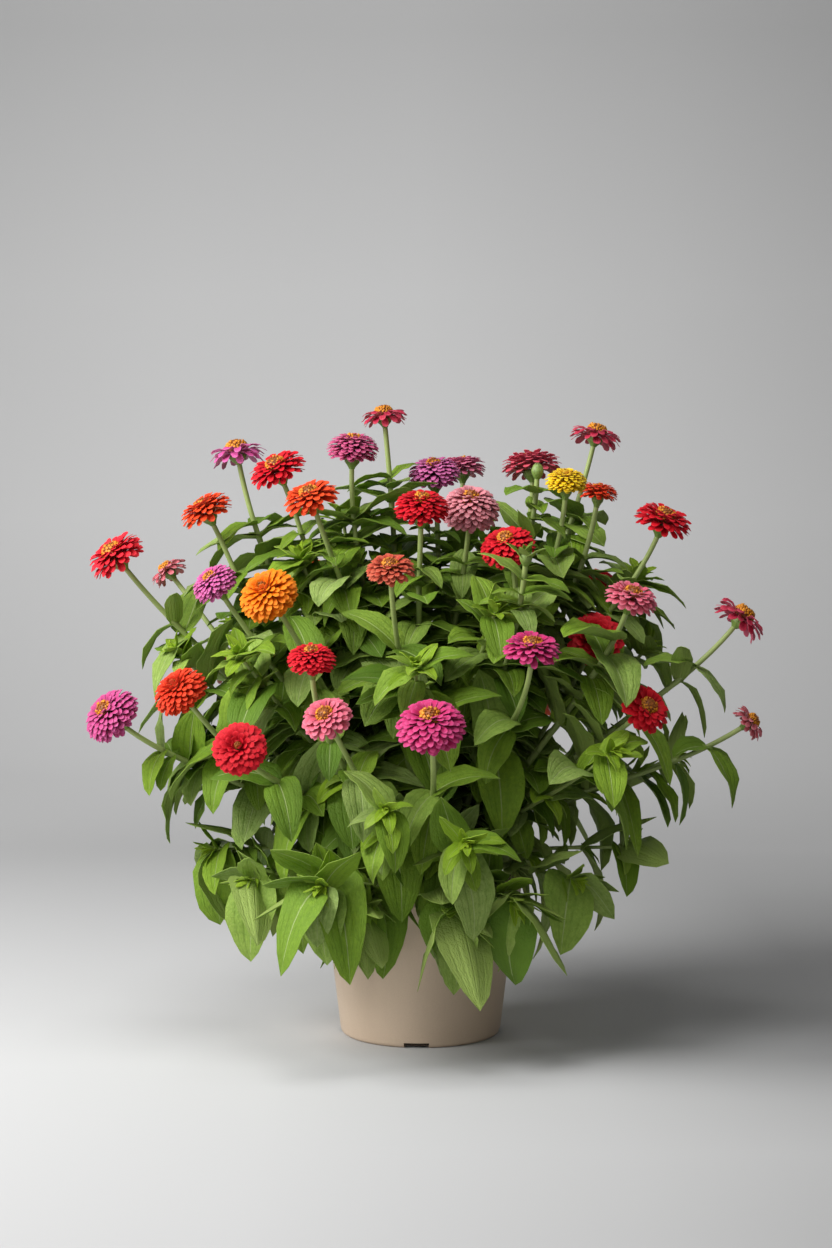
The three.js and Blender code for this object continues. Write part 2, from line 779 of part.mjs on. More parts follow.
// A flower head of one row of spread petals round a raised cone of florets. All its sizes are shares
// of its radius.
function singleHead(radius) {
  const petals = 10;
  const tip = { radius, height: 0.2 * radius };
  const notch = { radius: 0.38 * radius, height: 0.18 * radius };
  return headThrough(
    [
      plainRing(4, 0.27 * radius, 0, 0),
      petalRing(petals, tip, notch, 0.5, 0.22),
      plainRing(petals, 0.3 * radius, 0.34 * radius, 0),
      plainRing(petals, 0.26 * radius, 0.6 * radius, 0.5),
    ],
    0.68 * radius,
  );
}

// A flower head of stacked rows of petals, each set over the gaps of the row below.
function layeredHead(radius, petals, rows, apexHeight) {
  const rings = [plainRing(4, 0.28 * radius, 0, 0)];
  rows.forEach(({ tip, notch, root }, row) => {
    const phase = 0.5 * row;
    const scaled = ([share, height]) => ({ radius: share * radius, height: height * radius });
    rings.push(petalRing(petals, scaled(tip), scaled(notch), phase + 0.5, 0.27));
    rings.push(plainRing(petals, root[0] * radius, root[1] * radius, phase));
  });
  return headThrough(rings, apexHeight * radius);
}

const DOUBLE_ROWS = [
  { tip: [1, 0.26], notch: [0.6, 0.24], root: [0.52, 0.4] },
  { tip: [0.72, 0.5], notch: [0.44, 0.46], root: [0.34, 0.6] },
];
const DOME_ROWS = [
  { tip: [1, 0.28], notch: [0.72, 0.24], root: [0.66, 0.44] },
  { tip: [0.88, 0.56], notch: [0.6, 0.54], root: [0.52, 0.74] },
  { tip: [0.6, 0.82], notch: [0.38, 0.8], root: [0.28, 0.9] },
];

// A flower head in its own frame: its foot at the origin and its face along +Z.
function headGeometry({ form, radius }) {
  const isLarge = radius >= LARGE_HEAD;
  if (form === "single") return singleHead(radius);
  if (form === "double") return layeredHead(radius, isLarge ? 9 : 8, DOUBLE_ROWS, 0.68);
  return layeredHead(radius, isLarge ? 8 : 7, DOME_ROWS, 0.94);
}

// The pot's inner radius at a height.
function potInnerRadius(height) {
  return POT.baseRadius - POT.wall + ((POT.wallRadius - POT.baseRadius) * height) / POT.height;
}

// The pot: a tapered shell with a thick lip, and slots cut through the corner of its foot.
function potSolid() {
  const lipBottom = POT.height - POT.lipHeight;
  const outerAtLip = potInnerRadius(lipBottom) + POT.wall;
  const profile = [
    [0, 0],
    [POT.baseRadius - POT.bevel, 0],
    [POT.baseRadius, POT.bevel],
    [outerAtLip, lipBottom],
    [POT.lipRadius, lipBottom + POT.bevel],
    [POT.lipRadius, POT.height],
    [potInnerRadius(POT.height), POT.height],
    [potInnerRadius(POT.wall), POT.wall],
    [0, POT.wall],
  ].map(([x, y]) => new THREE.Vector2(x, y));
  let pot = solidOf(new THREE.LatheGeometry(profile, POT.sides).rotateX(PI / 2));
  for (let i = 0; i < SLOTS.count; i++) {
    const cutter = new THREE.BoxGeometry(2 * SLOTS.reach, SLOTS.width, 2 * SLOTS.height)
      .translate(POT.baseRadius, 0, 0)
      .rotateZ(rad(SLOTS.firstAngle + (360 * i) / SLOTS.count));
    pot = pot.subtract(solidOf(cutter));
  }
  return pot;
}

// The compost, with a plain hole for every stem.
function soilSolid() {
  const floor = POT.wall + SOIL.gap;
  const profile = [
    [0, floor],
    [potInnerRadius(floor) - 2 * SOIL.gap, floor],
    [potInnerRadius(SOIL.top) - 2 * SOIL.gap, SOIL.top],
    [0.6 * potInnerRadius(SOIL.top), SOIL.top + SOIL.crown],
    [0, SOIL.top + SOIL.crown],
  ].map(([x, y]) => new THREE.Vector2(x, y));
  let soil = solidOf(new THREE.LatheGeometry(profile, SOIL.sides).rotateX(PI / 2));
  for (const { root } of STEMS) {
    const hole = new THREE.CylinderGeometry(SOIL.holeRadius, SOIL.holeRadius, 2 * SOIL.holeDepth, 5)
      .rotateX(PI / 2)
      .translate(...root, SOIL.top);
    soil = soil.subtract(solidOf(hole));
  }
  return soil;
}

// A finish for one sub-part.
function finish(colour, roughness) {
  return new THREE.MeshStandardMaterial({ color: COLOURS[colour], roughness, metalness: 0 });
}

const plant = new THREE.Group();

function addNode(name, geometry, material) {
  const mesh = new THREE.Mesh(geometry, material);
  mesh.name = name;
  plant.add(mesh);
  return mesh;
}

const numbered = (name, number) => `${name}_${String(number).padStart(2, "0")}`;
const leafFinish = finish("leaf", 0.6);
const plants = growPlant();

addNode("pot", geometryOf(potSolid()), finish("pot", 0.45));
addNode("soil", geometryOf(soilSolid()), finish("soil", 0.95));
plants.forEach((branches, i) => {
  addNode(numbered("leafy_stem", i + 1), stemGeometry(branches), leafFinish);
});
BLOOMS.forEach((bloom, i) => {
  const head = addNode(numbered("bloom", i + 1), headGeometry(bloom), finish(bloom.colour, 0.55));
  const face = leaning(bloom.lean, bloom.toward);
  head.quaternion.setFromUnitVectors(UP, face);
  head.position.copy(along(new THREE.Vector3(...bloom.at), face, -HEAD_DEPTH));
});

export default plant;
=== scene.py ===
"""A potted zinnia in full flower, on a pale studio sweep.

The plant is grown here by the same rules and from the same numbers as its solids: nineteen branching
stems with opposite leaves, and thirty-nine flower heads. Each leafy stem and each head then gets its
fine shape. Growing is done in millimetres, with the origin at the centre of the pot's underside and
the viewer at -Y. Meshes are in metres. A compass angle counts anticlockwise seen from above, from +X.
"""

import logging
from collections.abc import Callable, Iterator, Sequence
from dataclasses import dataclass, field, replace
from enum import Enum
from math import ceil, cos, degrees, pi, radians, sin, sqrt

import bmesh
import bpy
import numpy as np
from bmesh.types import BMesh, BMVert
from bpy.types import Material, Mesh, Node, NodeSocket, NodeTree, Object
from mathutils import Euler, Matrix, Vector, noise


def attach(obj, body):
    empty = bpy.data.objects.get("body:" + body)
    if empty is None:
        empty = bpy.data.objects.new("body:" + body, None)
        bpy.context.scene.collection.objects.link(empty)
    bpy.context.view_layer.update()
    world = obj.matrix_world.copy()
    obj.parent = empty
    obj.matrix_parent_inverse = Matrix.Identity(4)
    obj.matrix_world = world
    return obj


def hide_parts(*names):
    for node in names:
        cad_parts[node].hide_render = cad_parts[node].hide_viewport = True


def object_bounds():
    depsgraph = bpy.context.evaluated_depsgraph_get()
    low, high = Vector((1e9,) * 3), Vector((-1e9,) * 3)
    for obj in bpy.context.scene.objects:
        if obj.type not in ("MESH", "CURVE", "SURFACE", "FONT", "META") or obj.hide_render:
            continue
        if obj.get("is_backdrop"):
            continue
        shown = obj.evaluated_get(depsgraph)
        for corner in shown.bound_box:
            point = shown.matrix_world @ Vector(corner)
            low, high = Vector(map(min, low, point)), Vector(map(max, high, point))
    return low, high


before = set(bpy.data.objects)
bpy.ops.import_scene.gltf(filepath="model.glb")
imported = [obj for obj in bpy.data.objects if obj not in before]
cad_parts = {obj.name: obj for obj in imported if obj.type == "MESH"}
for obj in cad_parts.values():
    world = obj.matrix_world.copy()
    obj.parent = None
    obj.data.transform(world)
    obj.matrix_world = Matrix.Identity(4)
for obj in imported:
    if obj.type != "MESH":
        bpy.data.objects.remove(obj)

LOG = logging.getLogger("zinnia")
CAD_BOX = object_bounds()
MM = 0.001
UP = np.array([0.0, 0.0, 1.0])
Array = np.ndarray
Pair = tuple[float, float]
Triple = tuple[float, float, float]
Path = tuple[Pair, ...]
Row = tuple[float, float, int]


class Form(Enum):
    """How a flower head is built up."""

    SINGLE = "single"
    DOUBLE = "double"
    DOME = "dome"


class Dye(Enum):
    """The petal colours, each with the name of its material slot."""

    RED = "petal_red"
    SCARLET = "petal_scarlet"
    ORANGE = "petal_orange"
    YELLOW = "petal_yellow"
    CORAL = "petal_coral"
    ROSE = "petal_rose"
    MAGENTA = "petal_magenta"
    ORCHID = "petal_orchid"
    PURPLE = "petal_purple"
    MAUVE = "petal_mauve"
    PINK = "petal_pink"
    DUSTY_PINK = "petal_dusty_pink"


SINGLE, DOUBLE, DOME = Form


@dataclass(frozen=True)
class Bloom:
    """A flower head: its middle, how far and which way its face leans, its radius, form and colour.

    It may be taller than others of its form, have paler petals, partly painted light, or a smaller disc
    that stays closed.
    """

    at: Triple
    lean: float
    toward: float
    radius: float
    form: Form
    dye: Dye
    tall: float = 1.0
    disc: float = 1.0
    # Paler petals: partly a head's own lighter colour, partly painted light that brightens a head lying in
    # shade.
    pale: float = 0.0


@dataclass(frozen=True)
class Shoot:
    """A branch that ends in a tuft of young leaves, or in a green bud with or without a leafy collar."""

    at: Triple
    lean: float
    toward: float
    bud: bool = False
    collar: bool = False


@dataclass(frozen=True)
class StemPlan:
    """Where a stem leaves the compost, the heads it carries by number, tallest first, and its shoots."""

    root: Pair
    blooms: tuple[int, ...]
    shoots: tuple[Shoot, ...]


BLOOMS = (
    Bloom((-37, 40, 617), 6, 180, 23, SINGLE, Dye.ROSE),
    Bloom((-183, 30, 580), 10, 170, 28, SINGLE, Dye.PURPLE),
    Bloom((-139, -50, 562), 28, 215, 27, DOUBLE, Dye.RED),
    Bloom((-66, -20, 579), 8, 300, 25, DOME, Dye.MAUVE),
    Bloom((-105, -100, 536), 25, 225, 26, DOUBLE, Dye.SCARLET, pale=2.0),
    Bloom((-211, -20, 522), 28, 195, 26, DOUBLE, Dye.SCARLET, pale=1.5),
    Bloom((-295, -60, 479), 38, 205, 28, DOUBLE, Dye.RED, pale=2.2),
    Bloom((-259, 70, 460), 40, 165, 20, SINGLE, Dye.DUSTY_PINK),
    Bloom((-196, -100, 453), 38, 215, 22, DOME, Dye.PURPLE, pale=0.6),
    Bloom((-140, -170, 445), 45, 235, 28, DOME, Dye.ORANGE, disc=0.62),
    Bloom((1, -90, 523), 15, 280, 26, DOME, Dye.RED),
    Bloom((14, 60, 553), 12, 250, 26, DOME, Dye.PURPLE, pale=1.3),
    Bloom((43, 120, 562), 8, 100, 24, DOUBLE, Dye.MAUVE, pale=2.0),
    Bloom((48, -40, 519), 22, 280, 28, DOME, Dye.DUSTY_PINK, tall=1.25, pale=2.0),
    Bloom((-28, -190, 474), 22, 265, 22, DOUBLE, Dye.CORAL),
    Bloom((111, 50, 564), 12, 110, 29, DOUBLE, Dye.ROSE, pale=2.4),
    Bloom((141, -40, 549), 12, 280, 20, DOME, Dye.YELLOW, disc=0.7),
    Bloom((180, 100, 597), 14, 20, 26, SINGLE, Dye.ROSE),
    Bloom((177, 20, 540), 8, 350, 19, DOUBLE, Dye.SCARLET),
    Bloom((83, -90, 486), 30, 240, 26, DOME, Dye.RED),
    Bloom((238, -20, 511), 22, 330, 28, DOUBLE, Dye.RED),
    Bloom((200, -110, 442), 22, 320, 25, DOUBLE, Dye.PINK),
    Bloom((317, -20, 418), 38, 5, 27, SINGLE, Dye.ROSE),
    Bloom((326, -40, 317), 55, 350, 19, SINGLE, Dye.DUSTY_PINK),
    Bloom((102, -190, 400), 15, 280, 26, DOUBLE, Dye.MAGENTA),
    Bloom((170, -50, 397), 60, 275, 27, DOUBLE, Dye.RED, disc=0.4),
    Bloom((213, -130, 338), 55, 310, 24, DOUBLE, Dye.RED),
    Bloom((9, -250, 331), 28, 262, 31, DOME, Dye.MAGENTA),
    Bloom((-99, -220, 391), 14, 265, 22, DOME, Dye.RED, pale=1.2),
    Bloom((-86, -240, 342), 42, 240, 23, DOUBLE, Dye.PINK),
    Bloom((-224, -150, 354), 42, 220, 26, DOME, Dye.SCARLET, disc=0.46),
    Bloom((-292, -110, 327), 50, 215, 28, DOME, Dye.ORCHID),
    Bloom((-164, -230, 311), 62, 262, 25, DOME, Dye.RED, tall=0.78, disc=0.42),
    Bloom((-120, 210, 440), 35, 120, 26, DOME, Dye.ORANGE),
    Bloom((60, 250, 400), 40, 75, 27, DOUBLE, Dye.PURPLE),
    Bloom((190, 190, 430), 35, 40, 26, DOME, Dye.RED),
    Bloom((-215, 160, 350), 45, 145, 25, DOUBLE, Dye.PINK),
    Bloom((130, 260, 310), 50, 60, 25, DOUBLE, Dye.SCARLET),
    Bloom((-40, 270, 340), 50, 95, 24, DOUBLE, Dye.YELLOW),
)

STEMS = (
    StemPlan((-52, -8), (7, 6, 8), (Shoot((-236, -60, 386), 45, 195), Shoot((-205, -45, 190), 85, 190))),
    StemPlan((-50, -28), (32, 31), (Shoot((-165, -125, 172), 95, 217),)),
    StemPlan((-36, -46), (33,), (Shoot((-92, -215, 182), 75, 250),)),
    StemPlan((-16, -56), (29, 30), (Shoot((-32, -235, 256), 60, 262), Shoot((-60, -176, 150), 110, 250))),
    StemPlan((-34, -22), (10, 9), (Shoot((-170, -165, 392), 45, 225),)),
    StemPlan((-34, 6), (2, 3), (Shoot((-90, 90, 480), 15, 130),)),
    StemPlan((-14, -8), (1, 4, 5), (Shoot((-116, -60, 478), 20, 220), Shoot((-78, 20, 514), 12, 160))),
    StemPlan((2, -28), (11, 15), (Shoot((-5, -205, 385), 45, 268),)),
    StemPlan((6, -60), (28,), (Shoot((40, -235, 226), 65, 280), Shoot((30, -176, 150), 112, 278))),
    StemPlan((10, 2), (12, 14), (Shoot((70, -130, 430), 32, 290),)),
    StemPlan((14, 26), (13, 16), (Shoot((70, 100, 480), 15, 60),)),
    StemPlan(
        (24, -44), (20, 25), (Shoot((98, -142, 487), 15, 270, True, True), Shoot((90, -166, 158), 105, 302))
    ),
    StemPlan((34, -8), (19, 17), (Shoot((114, -22, 566), 5, 270, bud=True),)),
    StemPlan((36, 14), (18, 21), (Shoot((222, 52, 452), 28, 10), Shoot((230, 60, 380), 40, 15))),
    StemPlan((44, -30), (22, 26, 27), (Shoot((178, -160, 300), 55, 305), Shoot((150, -110, 170), 95, 325))),
    StemPlan((58, -6), (23, 24), (Shoot((205, -30, 190), 85, 350), Shoot((255, 10, 275), 65, 0))),
    StemPlan((-34, 36), (34, 37), (Shoot((-150, 140, 240), 70, 135), Shoot((-190, 90, 400), 40, 160))),
    StemPlan((-4, 52), (35, 39), (Shoot((8, 200, 222), 72, 88), Shoot((-40, 190, 430), 30, 105))),
    StemPlan((34, 44), (36, 38), (Shoot((150, 150, 235), 70, 45), Shoot((105, 175, 430), 30, 62))),
)


@dataclass(frozen=True)
class PotSizes:
    """The pot and its compost, in millimetres and degrees."""

    height: float = 150
    base_radius: float = 79
    wall_radius: float = 97
    lip_radius: float = 100
    lip_height: float = 9
    wall: float = 2.2
    foot_rounding: float = 4.5
    edge_rounding: float = 1.2
    around: int = 120
    slots: int = 4
    slot_steps: int = 6
    slot_height: float = 4
    slot_reach: float = 12
    first_slot: float = 266
    soil_top: float = 130
    soil_crown: float = 6
    soil_gap: float = 0.5

    def inner_radius(self, height: float) -> float:
        """The pot's inner radius at a height."""
        return self.base_radius - self.wall + (self.wall_radius - self.base_radius) * height / self.height


@dataclass(frozen=True)
class StemSizes:
    """The stems: corner radii of their solids, in millimetres, and how branches fork, in degrees."""

    root_radius: float = 4.6
    branch_radius: float = 3.2
    neck_radius: float = 3.3
    tip_radius: float = 2.0
    roundness: float = 0.76
    facet_height: float = 6
    node_distance: float = 10
    fork_distance: float = 26
    fork_reach: float = 28
    fork_share: float = 0.42
    lowest_fork: float = 0.1
    highest_fork: float = 0.66
    fork_angles: Pair = (34, 70)
    fork_turn: float = 0.7
    outward: float = 0.12
    pull: float = 0.34
    fork_pulls: Pair = (0.3, 0.32)
    leafy_share: float = 0.72
    samples: int = 32


@dataclass(frozen=True)
class LeafSizes:
    """A full-grown leaf, in millimetres and degrees, and how it is placed."""

    length: float = 88
    half_width: float = 22
    fold: float = 16
    thickness: float = 0.5
    rib: float = 0.9
    fullness: float = 1.15
    tries: int = 12
    turn: Triple = (10, 4, 36)
    spread: Triple = (62, 12, 2)
    droop: Triple = (0.25, 0.9, 0.3)
    low_below: float = 450
    shrink: float = 0.04
    light_least: float = 0.25
    light_own: float = 0.4
    light_level: float = 0.6
    most_twist: float = 32
    most_bend: float = 0.11
    most_crease: float = 0.7
    wave_height: float = 2.6
    crimp_height: float = 0.9
    curl_depth: float = 4.0
    curl_from: float = 0.65
    quilt_height: float = 0.3


@dataclass(frozen=True)
class Clearances:
    """How far one surface keeps from another while leaves are placed, in millimetres."""

    leaf: float = 11
    stem: float = 10
    bloom: float = 5
    pot: float = 4
    floor: float = 14
    filler: float = 4.5
    box: float = 8


POT = PotSizes()
STEM = StemSizes()
LEAF = LeafSizes()
CLEAR = Clearances()
HEAD_DEPTH = 8.0
SEAT_GAP = 0.3
SEED = 20260719
FILLER_SEED = 77031
OPEN_RIGHT_OF = 95
OPEN_BELOW = 330
OPEN_SHARE = 0.79
CROWN_TOP = 420
NARROW = 0.6
DROOPING = 1.6
SHORTENED = 0.86
PLACED_AGE = 0.8


def unit(vector: Array) -> Array:
    """A vector, or each row of vectors, at length 1."""
    return vector / np.linalg.norm(vector, axis=-1, keepdims=True)


def leaning(lean: float, toward: float) -> Array:
    """The direction that leans from the vertical towards a compass angle."""
    flat = sin(radians(lean))
    return np.array([flat * cos(radians(toward)), flat * sin(radians(toward)), cos(radians(lean))])


class Lot:
    """A fixed sequence of numbers, so that the plant is the same each time."""

    def __init__(self, seed: int) -> None:
        """Starts the sequence at a seed."""
        self.state = seed

    def share(self) -> float:
        """The next number, from 0 to 1."""
        self.state = (self.state * 1664525 + 1013904223) % 4294967296
        return self.state / 4294967296

    def either_way(self) -> float:
        """The next number, from -1 to 1."""
        return 2 * self.share() - 1

    def between(self, low: float, high: float) -> float:
        """The next number, from low to high."""
        return low + (high - low) * self.share()


@dataclass
class Centreline:
    """The curve that a stem or branch follows, measured back from its tip.

    It starts and ends in two directions, with handles whose lengths are shares of its span.
    """

    start: Array
    start_direction: Array
    end: Array
    end_direction: Array
    pulls: Pair

    def __post_init__(self) -> None:
        """Lays the curve and measures it."""
        start, end = self.start, self.end
        span = float(np.linalg.norm(end - start))
        self.handles = (
            start,
            start + self.start_direction * self.pulls[0] * span,
            end - self.end_direction * self.pulls[1] * span,
            end,
        )
        points = [self.point(i / STEM.samples) for i in range(STEM.samples + 1)]
        self.to_tip = [0.0] * (STEM.samples + 1)
        for i in range(STEM.samples - 1, -1, -1):
            self.to_tip[i] = self.to_tip[i + 1] + float(np.linalg.norm(points[i + 1] - points[i]))
        self.length = self.to_tip[0]

    def point(self, t: float) -> Array:
        """The curve's point at a parameter from 0 to 1."""
        a, b, c, d = self.handles
        k = 1 - t
        return a * k**3 + b * 3 * k * k * t + c * 3 * k * t * t + d * t**3

    def direction(self, t: float) -> Array:
        """The direction of growth at a parameter."""
        a, b, c, d = self.handles
        return unit((b - a) * 3 * (1 - t) ** 2 + (c - b) * 6 * t * (1 - t) + (d - c) * 3 * t * t)

    def parameter_back(self, distance: float) -> float:
        """The parameter at a distance back from the tip.

        Args:
            distance: The distance.

        Returns:
            The parameter, from 0 to 1.
        """
        i = STEM.samples
        while i > 1 and self.to_tip[i - 1] < distance:
            i -= 1
        share = (distance - self.to_tip[i]) / (self.to_tip[i - 1] - self.to_tip[i])
        return max(0.0, (i - share) / STEM.samples)

    def back_of(self, t: float) -> float:
        """The distance back from the tip of a parameter."""
        i = int(t * STEM.samples)
        share = t * STEM.samples - i
        return self.to_tip[i] + share * (self.to_tip[i + 1] - self.to_tip[i])


@dataclass
class Station:
    """The middle of a branch at one place, its direction there, and two directions across it."""

    centre: Array
    rise: Array
    first: Array
    second: Array

    def away(self, angle: float) -> Array:
        """The direction at a compass angle round the branch."""
        return self.first * cos(radians(angle)) + self.second * sin(radians(angle))


@dataclass
class LeafPair:
    """A place on a branch that carries leaves or another branch, at a distance back from its tip."""

    back: float
    size: float | None = None
    tier: int = -1


class Branch:
    """One branch from its start to its tip, with the places of its leaves."""

    def __init__(self, line: Centreline, tip: Bloom | Shoot, is_main: bool, lot: Lot) -> None:
        """Turns the branch's four sides by chance and plans its leaf pairs.

        Args:
            line: The curve that it follows.
            tip: What it ends in.
            is_main: Whether it comes out of the compost.
            lot: The plant's sequence of numbers.
        """
        self.number = -1
        self.line = line
        self.tip = tip
        self.is_main = is_main
        self.turn = 180 * lot.share()
        span = line.handles[3] - line.handles[0]
        self.level = unit(np.cross(UP, np.array([span[0], span[1], 0.0])))
        forked = line.length - STEM.fork_reach - STEM.facet_height
        lowest = STEM.leafy_share * line.length if is_main else forked
        self.pairs = [
            LeafPair(back, size, tier)
            for tier, (back, size) in enumerate(planned_pairs(tip, is_main))
            if back < lowest
        ]
        self.leaves: list[Leaf] = []

    def station(self, back: float) -> Station:
        """The branch's place and directions at a distance back from its tip.

        Args:
            back: The distance.

        Returns:
            The place.
        """
        t = self.line.parameter_back(back)
        rise = self.line.direction(t)
        first = unit(self.level - rise * float(self.level @ rise))
        return Station(self.line.point(t), rise, first, np.cross(rise, first))

    @property
    def is_outlying(self) -> bool:
        """Whether the branch reaches out of the crown alone, with narrow leaves."""
        x, _, z = self.tip.at
        return isinstance(self.tip, Bloom) and abs(x) > 240 and x + z > 100

    def age_at(self, back: float) -> float:
        """How grown a leaf is, from 0 to 1: leaves near a shoot's tip are the youngest."""
        if isinstance(self.tip, Shoot):
            return min(1.0, 0.42 + back / 110)
        return min(1.0, 0.72 + back / 700)

    def bare_length(self) -> float:
        """How far below the tip the first small leaves sit: further on the outlying branches.

        Returns:
            The distance.
        """
        if isinstance(self.tip, Shoot):
            return 46.0 if self.tip.bud else 24.0
        if self.is_outlying:
            return 150.0
        x, y, z = self.tip.at
        if y < -140:
            return 126.0
        return 46.0 + 0.12 * max(0.0, sqrt(x * x + y * y) + z - 560)

    def fork(self, share: float, tip: Bloom | Shoot, end: Array, face: Array, lot: Lot) -> "Branch":
        """Forks off a branch.

        Args:
            share: How far up this branch it forks.
            tip: What the new branch ends in.
            end: Its tip.
            face: Its direction at the tip.
            lot: The plant's sequence of numbers.

        Returns:
            The new branch.
        """
        back = self.line.back_of(share)
        while any(
            abs(pair.back - back) < (STEM.node_distance if pair.size else STEM.fork_distance)
            for pair in self.pairs
        ):
            back += 2
        place = self.station(back)
        aim = unit(end - place.centre)
        least, most = (radians(angle) for angle in STEM.fork_angles)
        between = float(np.arccos(np.clip(place.rise @ aim, -1, 1)))
        angle = min(most, max(least, STEM.fork_turn * between))
        across = unit(aim - place.rise * float(aim @ place.rise))
        start = across * sin(angle) + place.rise * cos(angle)
        line = Centreline(place.centre, start, end, face, STEM.fork_pulls)
        branch = Branch(line, tip, False, lot)
        self.pairs.append(LeafPair(back))
        return branch


def planned_pairs(tip: Bloom | Shoot, is_main: bool) -> list[Pair]:
    """Where leaf pairs sit below a tip, as distances back from it with their sizes.

    Args:
        tip: The head or shoot.
        is_main: Whether the branch comes out of the compost.

    Returns:
        The distances and sizes.
    """
    if isinstance(tip, Bloom):
        pairs = [(84.0, 0.76), (142.0, 1.0)]
        return pairs + [(204.0, 1.04), (268.0, 1.0)] if is_main else pairs
    if tip.bud:
        return [(30.0, 0.6), (76.0, 0.9)]
    return [(10.0, 0.66), (48.0, 1.0), (104.0, 1.0)]


def leaf_outline(share: Array) -> Array:
    """Half the width of a leaf at a share of its length, as a share of its greatest half width."""
    return 2.39 * np.sqrt(share + 0.015) * (1 - share) ** 0.85


def full_outline(share: Array) -> Array:
    """The same for the fine leaves, which are broader where they clasp the stem."""
    return 2.087 * (share + 0.03) ** 0.45 * (1 - share) ** 0.7


@dataclass
class Leaf:
    """A drooping, folded leaf."""

    base: Array
    heading: Array
    drop: Array
    side: Array
    length: float
    half_width: float
    age: float = 1.0
    tone: float = 0.5
    wave: float = 0.0
    twist: float = 0.0
    bend: float = 0.0
    crease: float = 1.0

    def vary(self, lot: Lot, freedom: float) -> None:
        """Gives the leaf its own tone, waves, twist, sideways bend and crease by chance.

        Args:
            lot: The sequence of numbers to draw from.
            freedom: How far its blade may depart from the plain shape.
        """
        self.tone = lot.share()
        self.wave = lot.share()
        self.twist = radians(LEAF.most_twist) * freedom * lot.either_way()
        self.bend = LEAF.most_bend * freedom * lot.either_way()
        self.crease = 1 + LEAF.most_crease * freedom * lot.either_way()

    def spine(self, share: Array) -> tuple[Array, Array]:
        """The midrib's points and the blade's upward directions at shares of its length.

        Args:
            share: The shares.

        Returns:
            The points and the directions.
        """
        share = share[:, None]
        centre = self.base + self.length * (self.heading * share + self.drop * share**2)
        normal = unit(np.cross(self.heading + 2 * share * self.drop, self.side))
        return centre, normal

    def samples(self) -> tuple[Array, Array]:
        """The points that stand for the leaf while room is made for it, and their shares.

        Returns:
            The points and the shares.
        """
        share = np.repeat([0.12, 0.25, 0.41, 0.56, 0.71, 0.86, 1.0], 3)
        across = np.tile([-0.85, 0.0, 0.85], 7)
        centre, normal = self.spine(share)
        reach = (self.half_width * leaf_outline(share) * across)[:, None]
        fold = radians(LEAF.fold)
        return centre + self.side * reach * cos(fold) + normal * np.abs(reach) * sin(fold), share

    def shape(self, across: Array, share: Array, under: Array) -> Array:
        """Bends a flat blade's points into the leaf.

        Args:
            across: From -1 to 1 across the blade.
            share: From 0 at its base to 1 at its tip.
            under: 0 on its upper face and 1 on its lower face.

        Returns:
            The points, in millimetres.
        """
        centre, normal = self.spine(share)
        grown = self.length / LEAF.length
        reach = LEAF.fullness * self.half_width * full_outline(share) * across
        fold = radians(LEAF.fold * self.crease)
        arch = np.abs(reach) * sin(fold) * (1.25 - 0.5 * across**2)
        ripple = LEAF.wave_height * np.sin(
            2 * pi * (2.1 * share + self.wave) + 1.4 * np.sign(across)
        ) * across**2
        ripple += LEAF.crimp_height * np.sin(
            2 * pi * (5.3 * share + 2 * self.wave) + 2 * np.sign(across)
        ) * across**4
        ripple *= grown * np.sin(pi * share)
        curled = np.clip((share - LEAF.curl_from) / (1 - LEAF.curl_from), 0, 1)
        curl = -LEAF.curl_depth * grown * curled**2
        turned = (self.twist * share**2)[:, None]
        side = self.side * np.cos(turned) + normal * np.sin(turned)
        normal = normal * np.cos(turned) - self.side * np.sin(turned)
        centre = centre + self.side * (self.bend * self.length * share**2)[:, None]
        quilt = LEAF.quilt_height * grown * np.abs(np.sin(2 * pi * across)) * np.sin(pi * share) ** 0.5
        rib = LEAF.rib * grown * np.exp(-((across / 0.09) ** 2)) * (1 - share)
        lift = arch + ripple + curl + quilt - under * (LEAF.thickness + rib)
        lift -= 0.5 * rib * (1 - under)
        return centre + side * (reach * cos(fold))[:, None] + normal * lift[:, None]


class Room:
    """What is already standing, as points that each keep a distance from the next leaf."""

    def __init__(self) -> None:
        """Starts empty."""
        self.points = np.empty((0, 3))
        self.marks = np.empty((0, 2))

    def add(self, points: Array, clearance: float, owner: int = -1) -> None:
        """Adds points that keep a clearance, and that are on a branch by number, or on none at -1."""
        self.points = np.vstack([self.points, points])
        self.marks = np.vstack([self.marks, np.tile([clearance, owner], (len(points), 1))])

    def fits(self, leaf: Leaf, owner: int, ease: float = 1.0) -> bool:
        """Whether a leaf is clear of everything else, of the pot and of the floor.

        Args:
            leaf: The leaf.
            owner: The number of the branch that it grows from.
            ease: The share of each clearance that it keeps.

        Returns:
            True where there is room.
        """
        samples, share = leaf.samples()
        radius = np.hypot(samples[:, 0], samples[:, 1])
        beside = radius > POT.lip_radius + CLEAR.pot
        above = samples[:, 2] > POT.height + CLEAR.pot
        if not np.all((samples[:, 2] > CLEAR.floor) & (beside | above)):
            return False
        most = float(self.marks[:, 0].max())
        near = np.all(self.points > samples.min(0) - most, 1)
        near &= np.all(self.points < samples.max(0) + most, 1)
        apart = samples[:, None, :] - self.points[near][None, :, :]
        clearances, owners = self.marks[near].T
        clear = (apart**2).sum(2) > (ease * clearances) ** 2
        own = (share < 0.3)[:, None] & (owners == owner)[None, :]
        base = (share < 0.2)[:, None] & (owners < 0)[None, :]
        return bool(np.all(clear | own | base))


@dataclass(frozen=True)
class Habit:
    """How freely a kind of leaf is placed, with each number's meaning as in LeafSizes."""

    tries: int = LEAF.tries
    spread: float = LEAF.spread[0]
    droop: float = 1.0
    ease: float = 1.0
    breadth: float = 1.0


